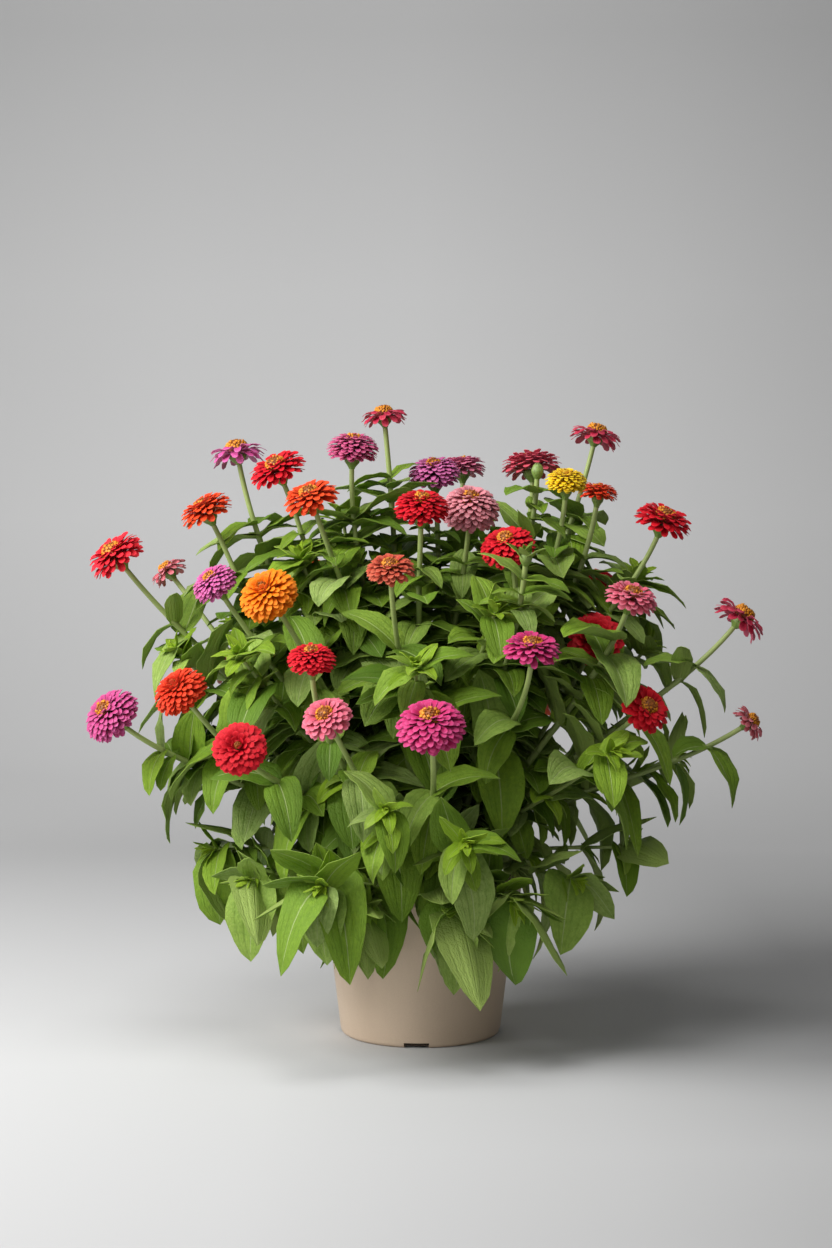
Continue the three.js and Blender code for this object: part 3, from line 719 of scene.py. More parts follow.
@dataclass(frozen=True)
class Filling:
    """A round of small leaves along the branches, with its distances in millimetres from the tip.

    Its ends are shares of a main branch and of another. Its steps and habits are those low in the
    crown and high in it. Leaves nearer the tip than `young_to` are smaller, by `young_share`.
    """

    start: float
    ends: Pair
    steps: tuple[Pair, Pair]
    sizes: Pair
    young_to: float
    young_share: float
    habits: tuple[Habit, Habit]
    ages: Pair

    def size(self, lot: Lot, back: float) -> float:
        """The size of the next leaf, by chance."""
        return lot.between(*self.sizes) * (self.young_share if back < self.young_to else 1.0)

    def habit(self, centre: Array) -> Habit:
        """How a leaf is placed at a height in the crown."""
        return self.habits[centre[2] > CROWN_TOP]


@dataclass(frozen=True)
class TuftRule:
    """The tufts of young leaves, their small variations, and the leaves in the axils lower down."""

    droop: float = 0.5
    turn: float = 16
    sizes: Pair = (0.88, 1.12)
    ageing: float = 0.055
    breadth: float = 0.86
    axil_misses: float = 0.35
    axil_leaves: Path = ((28, 0.3), (44, 0.42))
    axil_turn: float = 20
    axil_sizes: Pair = (0.8, 1.3)
    axil_ages: Pair = (0.12, 0.6)


@dataclass(frozen=True)
class HangingRule:
    """The large leaves that hang in front of the pot from the lowest shoots."""

    shoots_below: float = 200
    reach: float = 120
    middle_backs: tuple[float, ...] = (6, 26, 48)
    left_backs: tuple[float, ...] = (8, 34)
    right_backs: tuple[float, ...] = (8,)
    spreads: Pair = (50, 84)
    droops: Pair = (0.9, 2.0)
    turn: float = 80
    sizes: Pair = (0.66, 1.0)
    breadth: float = 1.2
    ages: Pair = (0.75, 1.0)

    def backs(self, x: float) -> tuple[float, ...]:
        """Where the leaves of a shoot at a place across the pot hang, as distances from its tip."""
        if abs(x) < self.reach:
            return self.middle_backs
        return self.left_backs if x < 0 else self.right_backs


BETWEEN_HABITS = (Habit(tries=6, ease=0.5), Habit(6, 56, 2.4, 0.3))
SPREAD_HABITS = (Habit(5, 78, 0.5, 0.42), Habit(5, 66, 2.2, 0.28))
BETWEEN = Filling(0, (0.8, 0.9), ((20, 30), (14, 22)), (0.46, 0.8), 80, 0.78, BETWEEN_HABITS, (0.7, 1))
SPREAD = Filling(10, (0.86, 0.95), ((16, 30), (16, 30)), (0.5, 0.9), 90, 0.82, SPREAD_HABITS, (0.75, 1))
TUFTS = TuftRule()
HANGING = HangingRule()
PAIR_DISTANCE = 12
SPREAD_ABOVE_POT = 10


@dataclass(frozen=True)
class PlacedLeaf:
    """A listed leaf: its stem and branch by number, its place, where it faces, and its habit."""

    stem: int
    branch: int
    back: float
    toward: float
    spread: float
    droop: float
    size: float
    breadth: float = 1.0


PLACED_LEAVES = tuple(
    PlacedLeaf(*row)
    for row in (
        (15, 0, 40, 212, 70, 0.35, 0.9, 1.25),
        (15, 0, 58, 290, 74, 1.0, 0.98),
        (15, 0, 74, 200, 70, 0.7, 0.8),
        (12, 1, 100, 250, 76, 0.8, 0.7),
        (12, 1, 100, 70, 76, 0.6, 0.7),
        (1, 0, 100, 230, 80, 1.1, 1.0),
        (8, 1, 118, 250, 70, 0.6, 0.9),
        (4, 1, 96, 300, 70, 0.8, 0.8),
        (9, 2, 3, 300, 30, 1.9, 1.15, 1.15),
        (4, 3, 4, 310, 34, 1.5, 0.8, 1.1),
        (4, 3, 22, 190, 60, 1.6, 0.86, 1.15),
        (4, 3, 34, 225, 50, 1.9, 0.84, 1.15),
        (3, 1, 5, 200, 36, 1.5, 1.05),
        (3, 1, 30, 265, 60, 1.9, 1.1, 1.1),
        (12, 3, 4, 340, 40, 1.6, 1.0, 1.5),
        (2, 0, 85, 190, 80, 0.8, 1.0, 1.15),
        (2, 0, 85, 20, 70, 0.6, 0.8),
        (2, 1, 70, 200, 80, 0.9, 0.9),
        (1, 1, 70, 215, 66, 0.9, 0.8),
        (1, 0, 96, 30, 80, 0.25, 0.85, 1.9),
        (16, 0, 62, 195, 122, 0.2, 0.72, 1.9),
        (16, 0, 62, 345, 84, 0.35, 0.72, 1.9),
        (16, 1, 46, 200, 118, 0.2, 0.6, 2.0),
        (16, 1, 46, 335, 76, 0.6, 0.8, 1.9),
        (7, 1, 62, 20, 64, 0.6, 0.75),
        (7, 1, 62, 200, 64, 0.6, 0.75),
    )
)


YOUNGEST = ((0.4, 0.09, 8), (0.8, 0.13, 15), (1.6, 0.18, 24), (3.0, 0.24, 34))
TUFT = (*YOUNGEST, (5.2, 0.31, 45), (8.2, 0.38, 56), (12.0, 0.46, 64))
COLLAR = ((8.0, 0.17, 10), (11.0, 0.23, 18), (14.0, 0.28, 30))


class Plant:
    """Every branch and leaf, grown by the same rules as the solids and then filled out."""

    def __init__(self) -> None:
        """Grows the whole plant."""
        self.lot = Lot(SEED)
        self.filler = Lot(FILLER_SEED)
        self.room = Room()
        self.stems = [self.grow_branches(plan) for plan in STEMS]
        self.branches = [branch for stem in self.stems for branch in stem]
        for number, branch in enumerate(self.branches):
            branch.number = number
            if isinstance(branch.tip, Bloom):
                middle = np.array([branch.tip.at], float)
                self.room.add(middle, branch.tip.radius + CLEAR.bloom)
            steps = int(branch.line.length / 10 + 0.5)
            backs = [i * branch.line.length / steps for i in range(steps + 1)]
            points = np.array([branch.station(back).centre for back in backs])
            self.room.add(points, CLEAR.stem, number)
        self.grow_leaves()
        self.fill_out()

    def grow_branches(self, plan: StemPlan) -> list[Branch]:
        """The branches of one stem: the main one, and those that fork from it on the way up.

        Args:
            plan: Where the stem starts and what it carries.

        Returns:
            The branches.
        """
        branches: list[Branch] = []
        for tip in [*(BLOOMS[number - 1] for number in plan.blooms), *plan.shoots]:
            face = leaning(tip.lean, tip.toward)
            middle = np.array(tip.at, float)
            end = middle - face * (HEAD_DEPTH + SEAT_GAP) if isinstance(tip, Bloom) else middle
            if branches:
                tallest = branches[0].line.handles[3][2]
                height = (end[2] - POT.soil_top) / (tallest - POT.soil_top)
                share = min(STEM.highest_fork, max(STEM.lowest_fork, STEM.fork_share * height))
                branches.append(branches[0].fork(share, tip, end, face, self.lot))
            else:
                start = np.array([*plan.root, POT.soil_top + POT.soil_crown], float)
                flat = (end - start) * [1, 1, 0]
                upward = unit(unit(flat) * STEM.outward + UP)
                line = Centreline(start, upward, end, face, (STEM.pull, STEM.pull))
                branches.append(Branch(line, tip, True, self.lot))
        return branches

    def grow_leaves(self) -> None:
        """Grows the pairs that the solids have, tier by tier over the whole plant."""
        for tier in range(4):
            for branch in self.branches:
                for pair in [one for one in branch.pairs if one.tier == tier]:
                    for side in (tier % 2, tier % 2 + 2):
                        leaf = self.grow_leaf(branch, pair.back, branch.turn + 90 * side, pair.size)
                        self.keep(branch, leaf, branch.age_at(pair.back), CLEAR.leaf)

    def grow_leaf(
        self, branch: Branch, back: float, turn: float, size: float, habit: Habit | None = None
    ) -> Leaf | None:
        """One leaf, turned and shortened little by little until it has room.

        Args:
            branch: Its branch.
            back: Its distance back from the branch's tip.
            turn: The angle round the branch that it faces.
            size: Its size against a full-grown leaf.
            habit: How freely a small leaf is placed, or None for one that the solids have.

        Returns:
            The leaf, or None where there is no room, or where a small leaf leaves the solids' box.
        """
        lot, freedom = (self.filler, 1.0) if habit else (self.lot, 0.45)
        rule = habit or Habit()
        place = branch.station(back)
        least_turn, more_turn, most_turn = LEAF.turn
        _, least_spread, more_spread = LEAF.spread
        least_droop, low_droop, vary_droop = LEAF.droop
        lowness = max(0.0, 1 - place.centre[2] / LEAF.low_below)
        for attempt in range(rule.tries):
            leeway = min(most_turn, least_turn + more_turn * attempt)
            outward = place.away(turn + leeway * lot.either_way())
            angle = radians(rule.spread + (least_spread + more_spread * attempt) * lot.either_way())
            droop = rule.droop * (least_droop + low_droop * lowness + vary_droop * lot.share())
            arc = LEAF.length * size * (1 - LEAF.shrink * attempt)
            heading = place.rise * cos(angle) + outward * sin(angle)
            drop = (heading * heading[2] - UP) * droop
            side = np.cross(place.rise, outward)
            flat = np.cross(UP, heading)
            level = float(np.linalg.norm(flat))
            if level > LEAF.light_least:
                sign = -1 if flat @ side < 0 else 1
                side = unit(side * LEAF.light_own + flat * (sign * LEAF.light_level / level))
                side = unit(side - heading * float(side @ heading))
            stretch = 1 + 4 * np.linalg.norm(heading + drop) + np.linalg.norm(heading + 2 * drop)
            half_width = LEAF.half_width * arc / LEAF.length
            leaf = Leaf(place.centre, heading, drop, side, arc * 6 / float(stretch), half_width)
            if self.room.fits(leaf, branch.number, rule.ease):
                leaf.vary(self.filler, freedom)
                leaf.half_width *= rule.breadth
                return leaf if habit is None or self.inside(leaf) else None
        return None

    def keep(self, branch: Branch, leaf: Leaf | None, age: float, clearance: float = CLEAR.filler) -> None:
        """Keeps a leaf, where there was room for one, and the room that it takes.

        Args:
            branch: Its branch.
            leaf: The leaf, or None.
            age: How grown it is, from 0 to 1.
            clearance: How far the next leaf keeps from it.
        """
        if leaf is not None:
            leaf.age = age
            self.room.add(leaf.samples()[0], clearance)
            branch.leaves.append(leaf)

    def fill_out(self) -> None:
        """Adds the small leaves that the solids leave out: tufts at the tips and leaves in between."""
        for placed in PLACED_LEAVES:
            self.add_placed(placed)
        shoots = [branch for branch in self.branches if isinstance(branch.tip, Shoot)]
        for branch in shoots:
            if branch.tip.collar:
                self.add_tuft(branch, COLLAR, 0.7)
            elif not branch.tip.bud:
                self.add_tuft(branch, TUFT, 0.0)
        for branch in self.branches:
            self.add_between(branch)
        for branch in self.branches:
            self.add_spread_leaves(branch)
        for branch in shoots:
            if branch.tip.at[2] < HANGING.shoots_below:
                self.add_hanging_leaves(branch)
        for branch in self.branches:
            for pair in [one for one in branch.pairs if one.tier > 0]:
                self.add_axil_leaves(branch, pair.back)
            if branch.is_outlying:
                for leaf in branch.leaves:
                    leaf.half_width *= NARROW
                    leaf.drop = leaf.drop * DROOPING
                    leaf.length *= SHORTENED

    def add_placed(self, placed: PlacedLeaf) -> None:
        """Adds a listed leaf.

        Args:
            placed: Its place and habit.
        """
        branch = self.stems[placed.stem - 1][placed.branch]
        place = branch.station(placed.back)
        wanted = leaning(90, placed.toward)
        turn = degrees(np.arctan2(wanted @ place.second, wanted @ place.first))
        habit = Habit(1, placed.spread, placed.droop, 0.0, placed.breadth)
        leaf = self.grow_leaf(branch, placed.back, turn, placed.size, habit)
        self.keep(branch, leaf, PLACED_AGE)

    def add_tuft(self, branch: Branch, tiers: Sequence[Triple], age: float) -> None:
        """Adds pairs of young leaves round a branch's tip, each turned a quarter from the last.

        Args:
            branch: The branch.
            tiers: For each pair, its distance back, its size and its spread in degrees.
            age: How grown the youngest pair is, from 0 to 1.
        """
        lot = self.filler
        for tier, (back, size, spread) in enumerate(tiers):
            for side in (0, 180):
                turn = branch.turn + 90 * tier + side + TUFTS.turn * lot.either_way()
                habit = Habit(1, spread, TUFTS.droop, 0.0)
                leaf = self.grow_leaf(branch, back, turn, size * lot.between(*TUFTS.sizes), habit)
                if leaf is not None:
                    leaf.age = age + TUFTS.ageing * tier
                    leaf.half_width *= TUFTS.breadth
                    branch.leaves.append(leaf)

    def add_small(self, branch: Branch, back: float, turn: float, size: float, filling: Filling) -> None:
        """Adds one leaf of a round at a place on a branch, where there is room."""
        leaf = self.grow_leaf(branch, back, turn, size, filling.habit(branch.station(back).centre))
        self.keep(branch, leaf, branch.age_at(back) * self.filler.between(*filling.ages))

    def places(self, branch: Branch, filling: Filling) -> Iterator[tuple[float, Array]]:
        """Walks down a branch, a step by chance at a time.

        Args:
            branch: The branch.
            filling: The round of small leaves.

        Yields:
            Each place's distance back from the tip, and the place.
        """
        back = branch.bare_length() + filling.start
        while back < branch.line.length * filling.ends[0 if branch.is_main else 1]:
            centre = branch.station(back).centre
            yield back, centre
            back += self.filler.between(*filling.steps[centre[2] > CROWN_TOP])

    def add_between(self, branch: Branch) -> None:
        """Adds leaf pairs between the branch's main ones, wherever there is room.

        Args:
            branch: The branch.
        """
        tier = 0
        for back, centre in self.places(branch, BETWEEN):
            if all(abs(pair.back - back) > PAIR_DISTANCE for pair in branch.pairs if pair.size):
                for side in (0, 180):
                    size = BETWEEN.size(self.filler, back)
                    if self.is_wanted(centre):
                        self.add_small(branch, back, branch.turn + 90 * tier + side + 45, size, BETWEEN)
                tier += 1

    def add_spread_leaves(self, branch: Branch) -> None:
        """Adds broad leaves held out flat from the branch in the gaps of the crown.

        Args:
            branch: The branch.
        """
        for back, centre in self.places(branch, SPREAD):
            for side in (0, 180):
                if centre[2] > POT.height + SPREAD_ABOVE_POT and self.is_wanted(centre):
                    size = SPREAD.size(self.filler, back)
                    self.add_small(branch, back, 180 * self.filler.share() + side, size, SPREAD)

    def add_hanging_leaves(self, branch: Branch) -> None:
        """Adds large leaves that hang in front of the pot from a low shoot.

        Args:
            branch: The branch.
        """
        lot = self.filler
        for back in HANGING.backs(branch.tip.at[0]):
            for side in (0, 180):
                spread, droop = lot.between(*HANGING.spreads), lot.between(*HANGING.droops)
                turn = branch.turn + side + HANGING.turn * lot.either_way()
                habit = Habit(10, spread, droop, 0.3, HANGING.breadth)
                leaf = self.grow_leaf(branch, back, turn, lot.between(*HANGING.sizes), habit)
                self.keep(branch, leaf, lot.between(*HANGING.ages))

    def add_axil_leaves(self, branch: Branch, back: float) -> None:
        """Adds small shoots' first leaves, where the large leaves of a pair meet the stem.

        Args:
            branch: The branch.
            back: The pair's distance back from its tip.
        """
        lot = self.filler
        for side in (0, 90, 180, 270):
            if lot.share() < TUFTS.axil_misses:
                continue
            for turned, (spread, size) in enumerate(TUFTS.axil_leaves):
                turn = branch.turn + side + 90 * turned + TUFTS.axil_turn * lot.either_way()
                size *= lot.between(*TUFTS.axil_sizes)
                leaf = self.grow_leaf(branch, back, turn, size, Habit(2, spread, 0.6, 0.4))
                if leaf is not None:
                    leaf.age = lot.between(*TUFTS.axil_ages)
                    branch.leaves.append(leaf)

    def is_wanted(self, centre: Array) -> bool:
        """Whether a small leaf is wanted at a place: the low right of the crown is more open."""
        is_open = centre[0] > OPEN_RIGHT_OF and centre[2] < OPEN_BELOW
        return not (is_open and self.filler.share() < OPEN_SHARE)

    @staticmethod
    def inside(leaf: Leaf) -> bool:
        """Whether a leaf stays in the box of the solids.

        Args:
            leaf: The leaf.

        Returns:
            True where it does.
        """
        points = leaf.samples()[0] * MM
        low, high = (np.array(corner) for corner in CAD_BOX)
        room = CLEAR.box * MM
        return bool(np.all(points > low - room) and np.all(points < high + room))


Shape = Callable[[Array, Array, Array], Array]
Feed = NodeSocket | float | str | tuple[float, ...]


class Template:
    """A flat sheet of faces, one or two thick, whose copies are bent into leaves, petals and tubes."""

    def __init__(self, across: int, along: int, two_faced: bool, stations: Sequence[float] = ()) -> None:
        """Makes the sheet.

        Args:
            across: How many faces across.
            along: How many faces along.
            two_faced: Whether it is a thin closed slab, not a single sheet.
            stations: Where its rows lie along it, from 0 to 1, if not evenly.
        """
        sheet = bmesh.new()
        bmesh.ops.create_grid(sheet, x_segments=across, y_segments=along, size=1)
        if two_faced:
            bmesh.ops.solidify(sheet, geom=sheet.verts[:] + sheet.edges[:] + sheet.faces[:], thickness=1)
            bmesh.ops.recalc_face_normals(sheet, faces=sheet.faces)
            for edge in sheet.edges:
                edge.smooth = edge.calc_face_angle(0) < radians(45)
        even = np.linspace(0, 1, along + 1)
        uneven = np.array(stations) if len(stations) else even
        layer = sheet.loops.layers.uv.new("UVMap")
        for vert in sheet.verts:
            vert.co.y = 2 * float(np.interp((vert.co.y + 1) / 2, even, uneven)) - 1
        for face in sheet.faces:
            for loop in face.loops:
                loop[layer].uv = ((loop.vert.co.x + 1) / 2, (loop.vert.co.y + 1) / 2)
        self.mesh = bpy.data.meshes.new("template")
        sheet.to_mesh(self.mesh)
        sheet.free()
        rest = np.empty(len(self.mesh.vertices) * 3)
        self.mesh.vertices.foreach_get("co", rest)
        rest = rest.reshape(-1, 3)
        self.across = rest[:, 0]
        self.share = np.clip((rest[:, 1] + 1) / 2, 0, 1)
        self.under = (np.abs(rest[:, 2]) > 0.5).astype(float)


@dataclass
class Batch:
    """Copies of one template that share a material: each one's shape in millimetres, tone and age."""

    template: Template
    material: int
    copies: list[tuple[Shape, float, float]] = field(default_factory=list)

    def add(self, shape: Shape, tone: float = 0.5, age: float = 1.0) -> None:
        """Adds one copy."""
        self.copies.append((shape, tone, age))

    def mesh(self) -> Mesh:
        """All the copies as one mesh, in metres, with their tone, age and under attributes.

        Returns:
            The mesh.
        """
        template = self.template
        count = len(template.share)
        joined = bmesh.new()
        for _ in self.copies:
            joined.from_mesh(template.mesh)
        mesh = bpy.data.meshes.new("batch")
        joined.to_mesh(mesh)
        joined.free()
        shapes, tones, ages = zip(*self.copies)
        points = [shape(template.across, template.share, template.under) for shape in shapes]
        mesh.vertices.foreach_set("co", (np.concatenate(points) * MM).astype(np.float32).ravel())
        under = np.tile(template.under, len(shapes))
        values = {"tone": np.repeat(tones, count), "age": np.repeat(ages, count), "under": under}
        for name, value in values.items():
            mesh.attributes.new(name, "FLOAT", "POINT").data.foreach_set("value", value.astype(np.float32))
        faces = len(mesh.polygons)
        mesh.polygons.foreach_set("material_index", np.full(faces, self.material, np.int32))
        mesh.polygons.foreach_set("use_smooth", np.ones(faces, bool))
        return mesh


def as_piece(name: str, shape: BMesh, materials: Sequence[Material], smooth: bool = False) -> Object:
    """Makes a finished shape a piece of the scene, at the origin.

    Args:
        name: The piece's name.
        shape: Its shape, in metres.
        materials: Its materials, in the order of its faces' material numbers.
        smooth: Whether all its faces are shaded smooth.

    Returns:
        The piece.
    """
    mesh = bpy.data.meshes.new(name)
    shape.to_mesh(mesh)
    shape.free()
    if smooth:
        mesh.polygons.foreach_set("use_smooth", np.ones(len(mesh.polygons), bool))
    for material in materials:
        mesh.materials.append(material)
    piece = bpy.data.objects.new(name, mesh)
    bpy.context.scene.collection.objects.link(piece)
    return piece


def joined_piece(name: str, batches: Sequence[Batch], materials: Sequence[Material]) -> Object:
    """Joins batches into one piece, closes its seams and turns its faces outwards.

    Args:
        name: The piece's name.
        batches: Its batches; one without copies is passed over.
        materials: Its materials, in the order of the batches' material numbers.

    Returns:
        The piece.
    """
    joined = bmesh.new()
    for batch in batches:
        if batch.copies:
            mesh = batch.mesh()
            joined.from_mesh(mesh)
            bpy.data.meshes.remove(mesh)
    bmesh.ops.remove_doubles(joined, verts=joined.verts, dist=1e-7)
    bmesh.ops.dissolve_degenerate(joined, dist=1e-8, edges=joined.edges)
    bmesh.ops.recalc_face_normals(joined, faces=joined.faces)
    return as_piece(name, joined, materials)


def seat(piece: Object, node: str) -> None:
    """Puts a piece in the place of a solid and reports it.

    Args:
        piece: The piece.
        node: The solid's name.
    """
    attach(piece, "root")
    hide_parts(node)
    triangles = sum(len(face.vertices) - 2 for face in piece.data.polygons)
    LOG.info("%s: %d triangles", piece.name, triangles)


@dataclass
class Placing:
    """A local frame: its origin, and its three axes as rows."""

    origin: Array
    axes: Array

    @staticmethod
    def facing(origin: Array, face: Array) -> "Placing":
        """The frame whose +Z is a direction, turned there from +Z the short way."""
        turn = Vector((0, 0, 1)).rotation_difference(Vector(face)).to_matrix()
        return Placing(origin, np.array(turn).T)

    def __call__(self, points: Array) -> Array:
        """Local points as points of the plant."""
        return self.origin + points @ self.axes


def distances(line: Array) -> Array:
    """How far along a line each of its points lies."""
    return np.concatenate([[0], np.cumsum(np.linalg.norm(np.diff(line, axis=0), axis=1))])


def revolved(profile: Sequence[Pair], placing: Placing) -> Shape:
    """A shape that rolls a sheet into a solid of revolution.

    Args:
        profile: Its radii and heights, from one end of the sheet to the other.
        placing: Where it stands.

    Returns:
        The shape.
    """
    line = np.array(profile, float)
    steps = distances(line)

    def shape(across: Array, share: Array, under: Array) -> Array:
        """Rolls the sheet's points."""
        radius = np.interp(share * steps[-1], steps, line[:, 0])
        height = np.interp(share * steps[-1], steps, line[:, 1])
        angle = pi * across
        return placing(np.stack([radius * np.cos(angle), radius * np.sin(angle), height], 1))

    return shape


def head_placing(bloom: Bloom) -> Placing:
    """The frame of a flower head: its foot at the origin and its face along +Z."""
    face = leaning(bloom.lean, bloom.toward)
    return Placing.facing(np.array(bloom.at, float) - face * HEAD_DEPTH, face)


@dataclass
class StemBuilder:
    """Builds the leafy stems: round stems, cups and buds of bracts, and leaves. Sizes in millimetres."""

    finishes: "Finishes"
    ring_step: float = 7.0
    tube_sides: int = 10
    buried: float = 24.0
    swelling: float = 0.55
    swelling_reach: float = 4.5
    cup_depth: float = 11.0
    cup_share: float = 0.29
    bud_length: float = 16.0
    bud_radius: float = 5.6
    large_from: float = 11.0
    single_cup: float = 0.78
    bract_rows: tuple[Row, ...] = ((-1.0, -0.42, 7), (-0.72, -0.14, 9), (-0.45, 0.12, 10))
    bud_rows: tuple[Row, ...] = ((0.0, 0.42, 6), (0.12, 0.62, 7), (0.3, 0.82, 7), (0.5, 1.02, 6))

    def __post_init__(self) -> None:
        """Makes the sheets that are bent into its parts."""
        finishes = self.finishes
        self.large = Template(6, 8, True, (0, 0.07, 0.18, 0.32, 0.47, 0.62, 0.76, 0.9, 1))
        self.small = Template(4, 6, True, (0, 0.14, 0.32, 0.52, 0.72, 0.89, 1))
        self.bract = Template(3, 3, True)
        self.cup = Template(12, 6, False)
        self.tubes: dict[int, Template] = {}
        self.bracts, self.cups = Batch(self.bract, 2), Batch(self.cup, 2)
        self.materials = [finishes.leaf, finishes.stem, finishes.bract]

    def build(self, number: int, branches: list[Branch]) -> None:
        """Builds the piece of one stem.

        Args:
            number: The stem's number.
            branches: Its branches.
        """
        large, small = Batch(self.large, 0), Batch(self.small, 0)
        self.bracts, self.cups = Batch(self.bract, 2), Batch(self.cup, 2)
        batches = [large, small, self.bracts, self.cups]
        for branch in branches:
            batches.append(self.tube(branch))
            for leaf in branch.leaves:
                batch = large if leaf.half_width > self.large_from else small
                batch.add(leaf.shape, leaf.tone, leaf.age)
            if isinstance(branch.tip, Bloom):
                self.add_cup(branch.tip)
            elif branch.tip.bud:
                self.add_bud(branch)
        node = f"leafy_stem_{number:02d}"
        seat(joined_piece(node + "_fine", batches, self.materials), node)

    def tube(self, branch: Branch) -> Batch:
        """Rolls the round stem of one branch.

        Args:
            branch: The branch.

        Returns:
            The stem's single copy of its sheet.
        """
        length = branch.line.length
        below = self.buried if branch.is_main else 0.0
        steps = ceil((length + below) / self.ring_step)
        if steps not in self.tubes:
            self.tubes[steps] = Template(self.tube_sides, steps, False)
        start = STEM.root_radius if branch.is_main else STEM.branch_radius
        has_head = isinstance(branch.tip, Bloom) or branch.tip.bud
        end = STEM.neck_radius if has_head else STEM.tip_radius
        backs = np.linspace(length + below, 0, steps + 1)
        stations = [branch.station(min(back, length)) for back in backs]
        centres = np.array([place.centre for place in stations])
        centres[:, 2] -= np.maximum(0, backs - length)
        firsts = np.array([place.first for place in stations])
        seconds = np.array([place.second for place in stations])
        radii = STEM.roundness * (end + (start - end) * np.minimum(backs, length) / length)
        for pair in branch.pairs:
            radii = radii + self.swelling * np.exp(-(((backs - pair.back) / self.swelling_reach) ** 2))
        radii[[0, -1]] = 0.0

        def shape(across: Array, share: Array, under: Array) -> Array:
            """Rolls the sheet round the branch's curve."""
            row = np.rint(share * steps).astype(int)
            angle = pi * across
            around = firsts[row] * np.cos(angle)[:, None] + seconds[row] * np.sin(angle)[:, None]
            return centres[row] + around * radii[row][:, None]

        batch = Batch(self.tubes[steps], 1)
        batch.add(shape, 0.5, 1.0 if has_head else 0.4)
        return batch

    def add_cup(self, bloom: Bloom) -> None:
        """Adds the green cup under a flower head, and its overlapping bracts.

        Args:
            bloom: The head.
        """
        placing = head_placing(bloom)
        wide = self.cup_share * bloom.radius
        neck = STEM.roundness * STEM.neck_radius
        deep = self.cup_depth * (self.single_cup if bloom.form is SINGLE else 1.0)
        profile = [(0, -deep - 2), (neck, -deep), (0.55 * wide, -0.75 * deep), (0.9 * wide, -0.45 * deep)]
        profile += [(wide, -0.12 * deep), (wide, 0.2 * deep), (0, 0.2 * deep)]
        self.cups.add(revolved(profile, placing), 0.5, 1.0)
        wall = np.array([(-1.05 * deep, neck), (-0.75 * deep, 0.55 * wide), (-0.45 * deep, 0.9 * wide)])
        wall = np.vstack([wall, [(-0.12 * deep, wide), (0.2 * deep, wide)]])
        self.add_bracts(placing, wall, self.bract_rows, deep)

    def add_bud(self, branch: Branch) -> None:
        """Adds a closed bud at a branch's tip, wrapped in bracts.

        Args:
            branch: The branch.
        """
        place = branch.station(0.0)
        placing = Placing.facing(place.centre - place.rise * self.bud_length, place.rise)
        long, wide = self.bud_length, self.bud_radius
        neck = STEM.roundness * STEM.neck_radius
        body = [(0, -2), (neck, 0), (0.8 * wide, 0.22 * long), (wide, 0.48 * long)]
        body += [(0.8 * wide, 0.76 * long), (0.4 * wide, 0.93 * long), (0, 0.97 * long)]
        self.cups.add(revolved(body, placing), 0.5, 0.7)
        wall = np.array([(height, radius) for radius, height in body[1:]])
        self.add_bracts(placing, wall, self.bud_rows, long)

    def add_bracts(self, placing: Placing, wall: Array, rows: Sequence[Row], scale: float) -> None:
        """Adds overlapping bracts that follow a cup's wall.

        Args:
            placing: The cup's frame.
            wall: The wall's heights and radii, from the bottom up.
            rows: For each row, the heights of a bract's base and tip as shares, and its count.
            scale: The height that the shares are of.
        """
        for number, (low, high, count) in enumerate(rows):
            for i in range(count):
                middle = 2 * pi * (i + 0.5 * (number % 2)) / count

                def shape(
                    across: Array, share: Array, under: Array, middle: float = middle,
                    low: float = low, high: float = high, half: float = pi / count, step: int = number,
                ) -> Array:
                    """Wraps one bract round the wall."""
                    height = scale * (low + (high - low) * share)
                    radius = np.interp(height, wall[:, 0], wall[:, 1])
                    radius = radius + 0.25 + 0.22 * step + 0.55 * share**3 - 0.35 * under
                    width = 1.25 * half * np.sqrt(np.clip(1 - share**2.6, 0, 1))
                    angle = middle + width * across
                    lift = radius - 0.5 * across**2
                    return placing(np.stack([lift * np.cos(angle), lift * np.sin(angle), height], 1))

                self.bracts.add(shape, (7 * i % count) / count, 1.0)


@dataclass(frozen=True)
class PetalSpiral:
    """How a form's petals are laid, from the lowest to the innermost, as shares of the head's radius.

    Each path has the radius and height of the petals' roots or tips at even steps of the spiral.
    """

    count: int
    tips: Path
    roots: Path
    half_width: Pair
    recurve: float
    cup: float
    wildness: float

    def at(self, path: Path, share: float) -> Array:
        """The radius and height on a path at a share of the spiral."""
        steps = np.linspace(0, 1, len(path))
        points = np.array(path)
        return np.array([np.interp(share, steps, points[:, 0]), np.interp(share, steps, points[:, 1])])


def dome_tips(tall: float, top: float) -> Path:
    """The tips' path over a dome of a height, up to a share of it, at even steps."""
    heights = [-0.55 + (top + 0.55) * i / 16 for i in range(17)]
    return tuple((1.06 * sqrt(1 - h * h), 0.3 + 0.7 * tall * h) for h in heights)


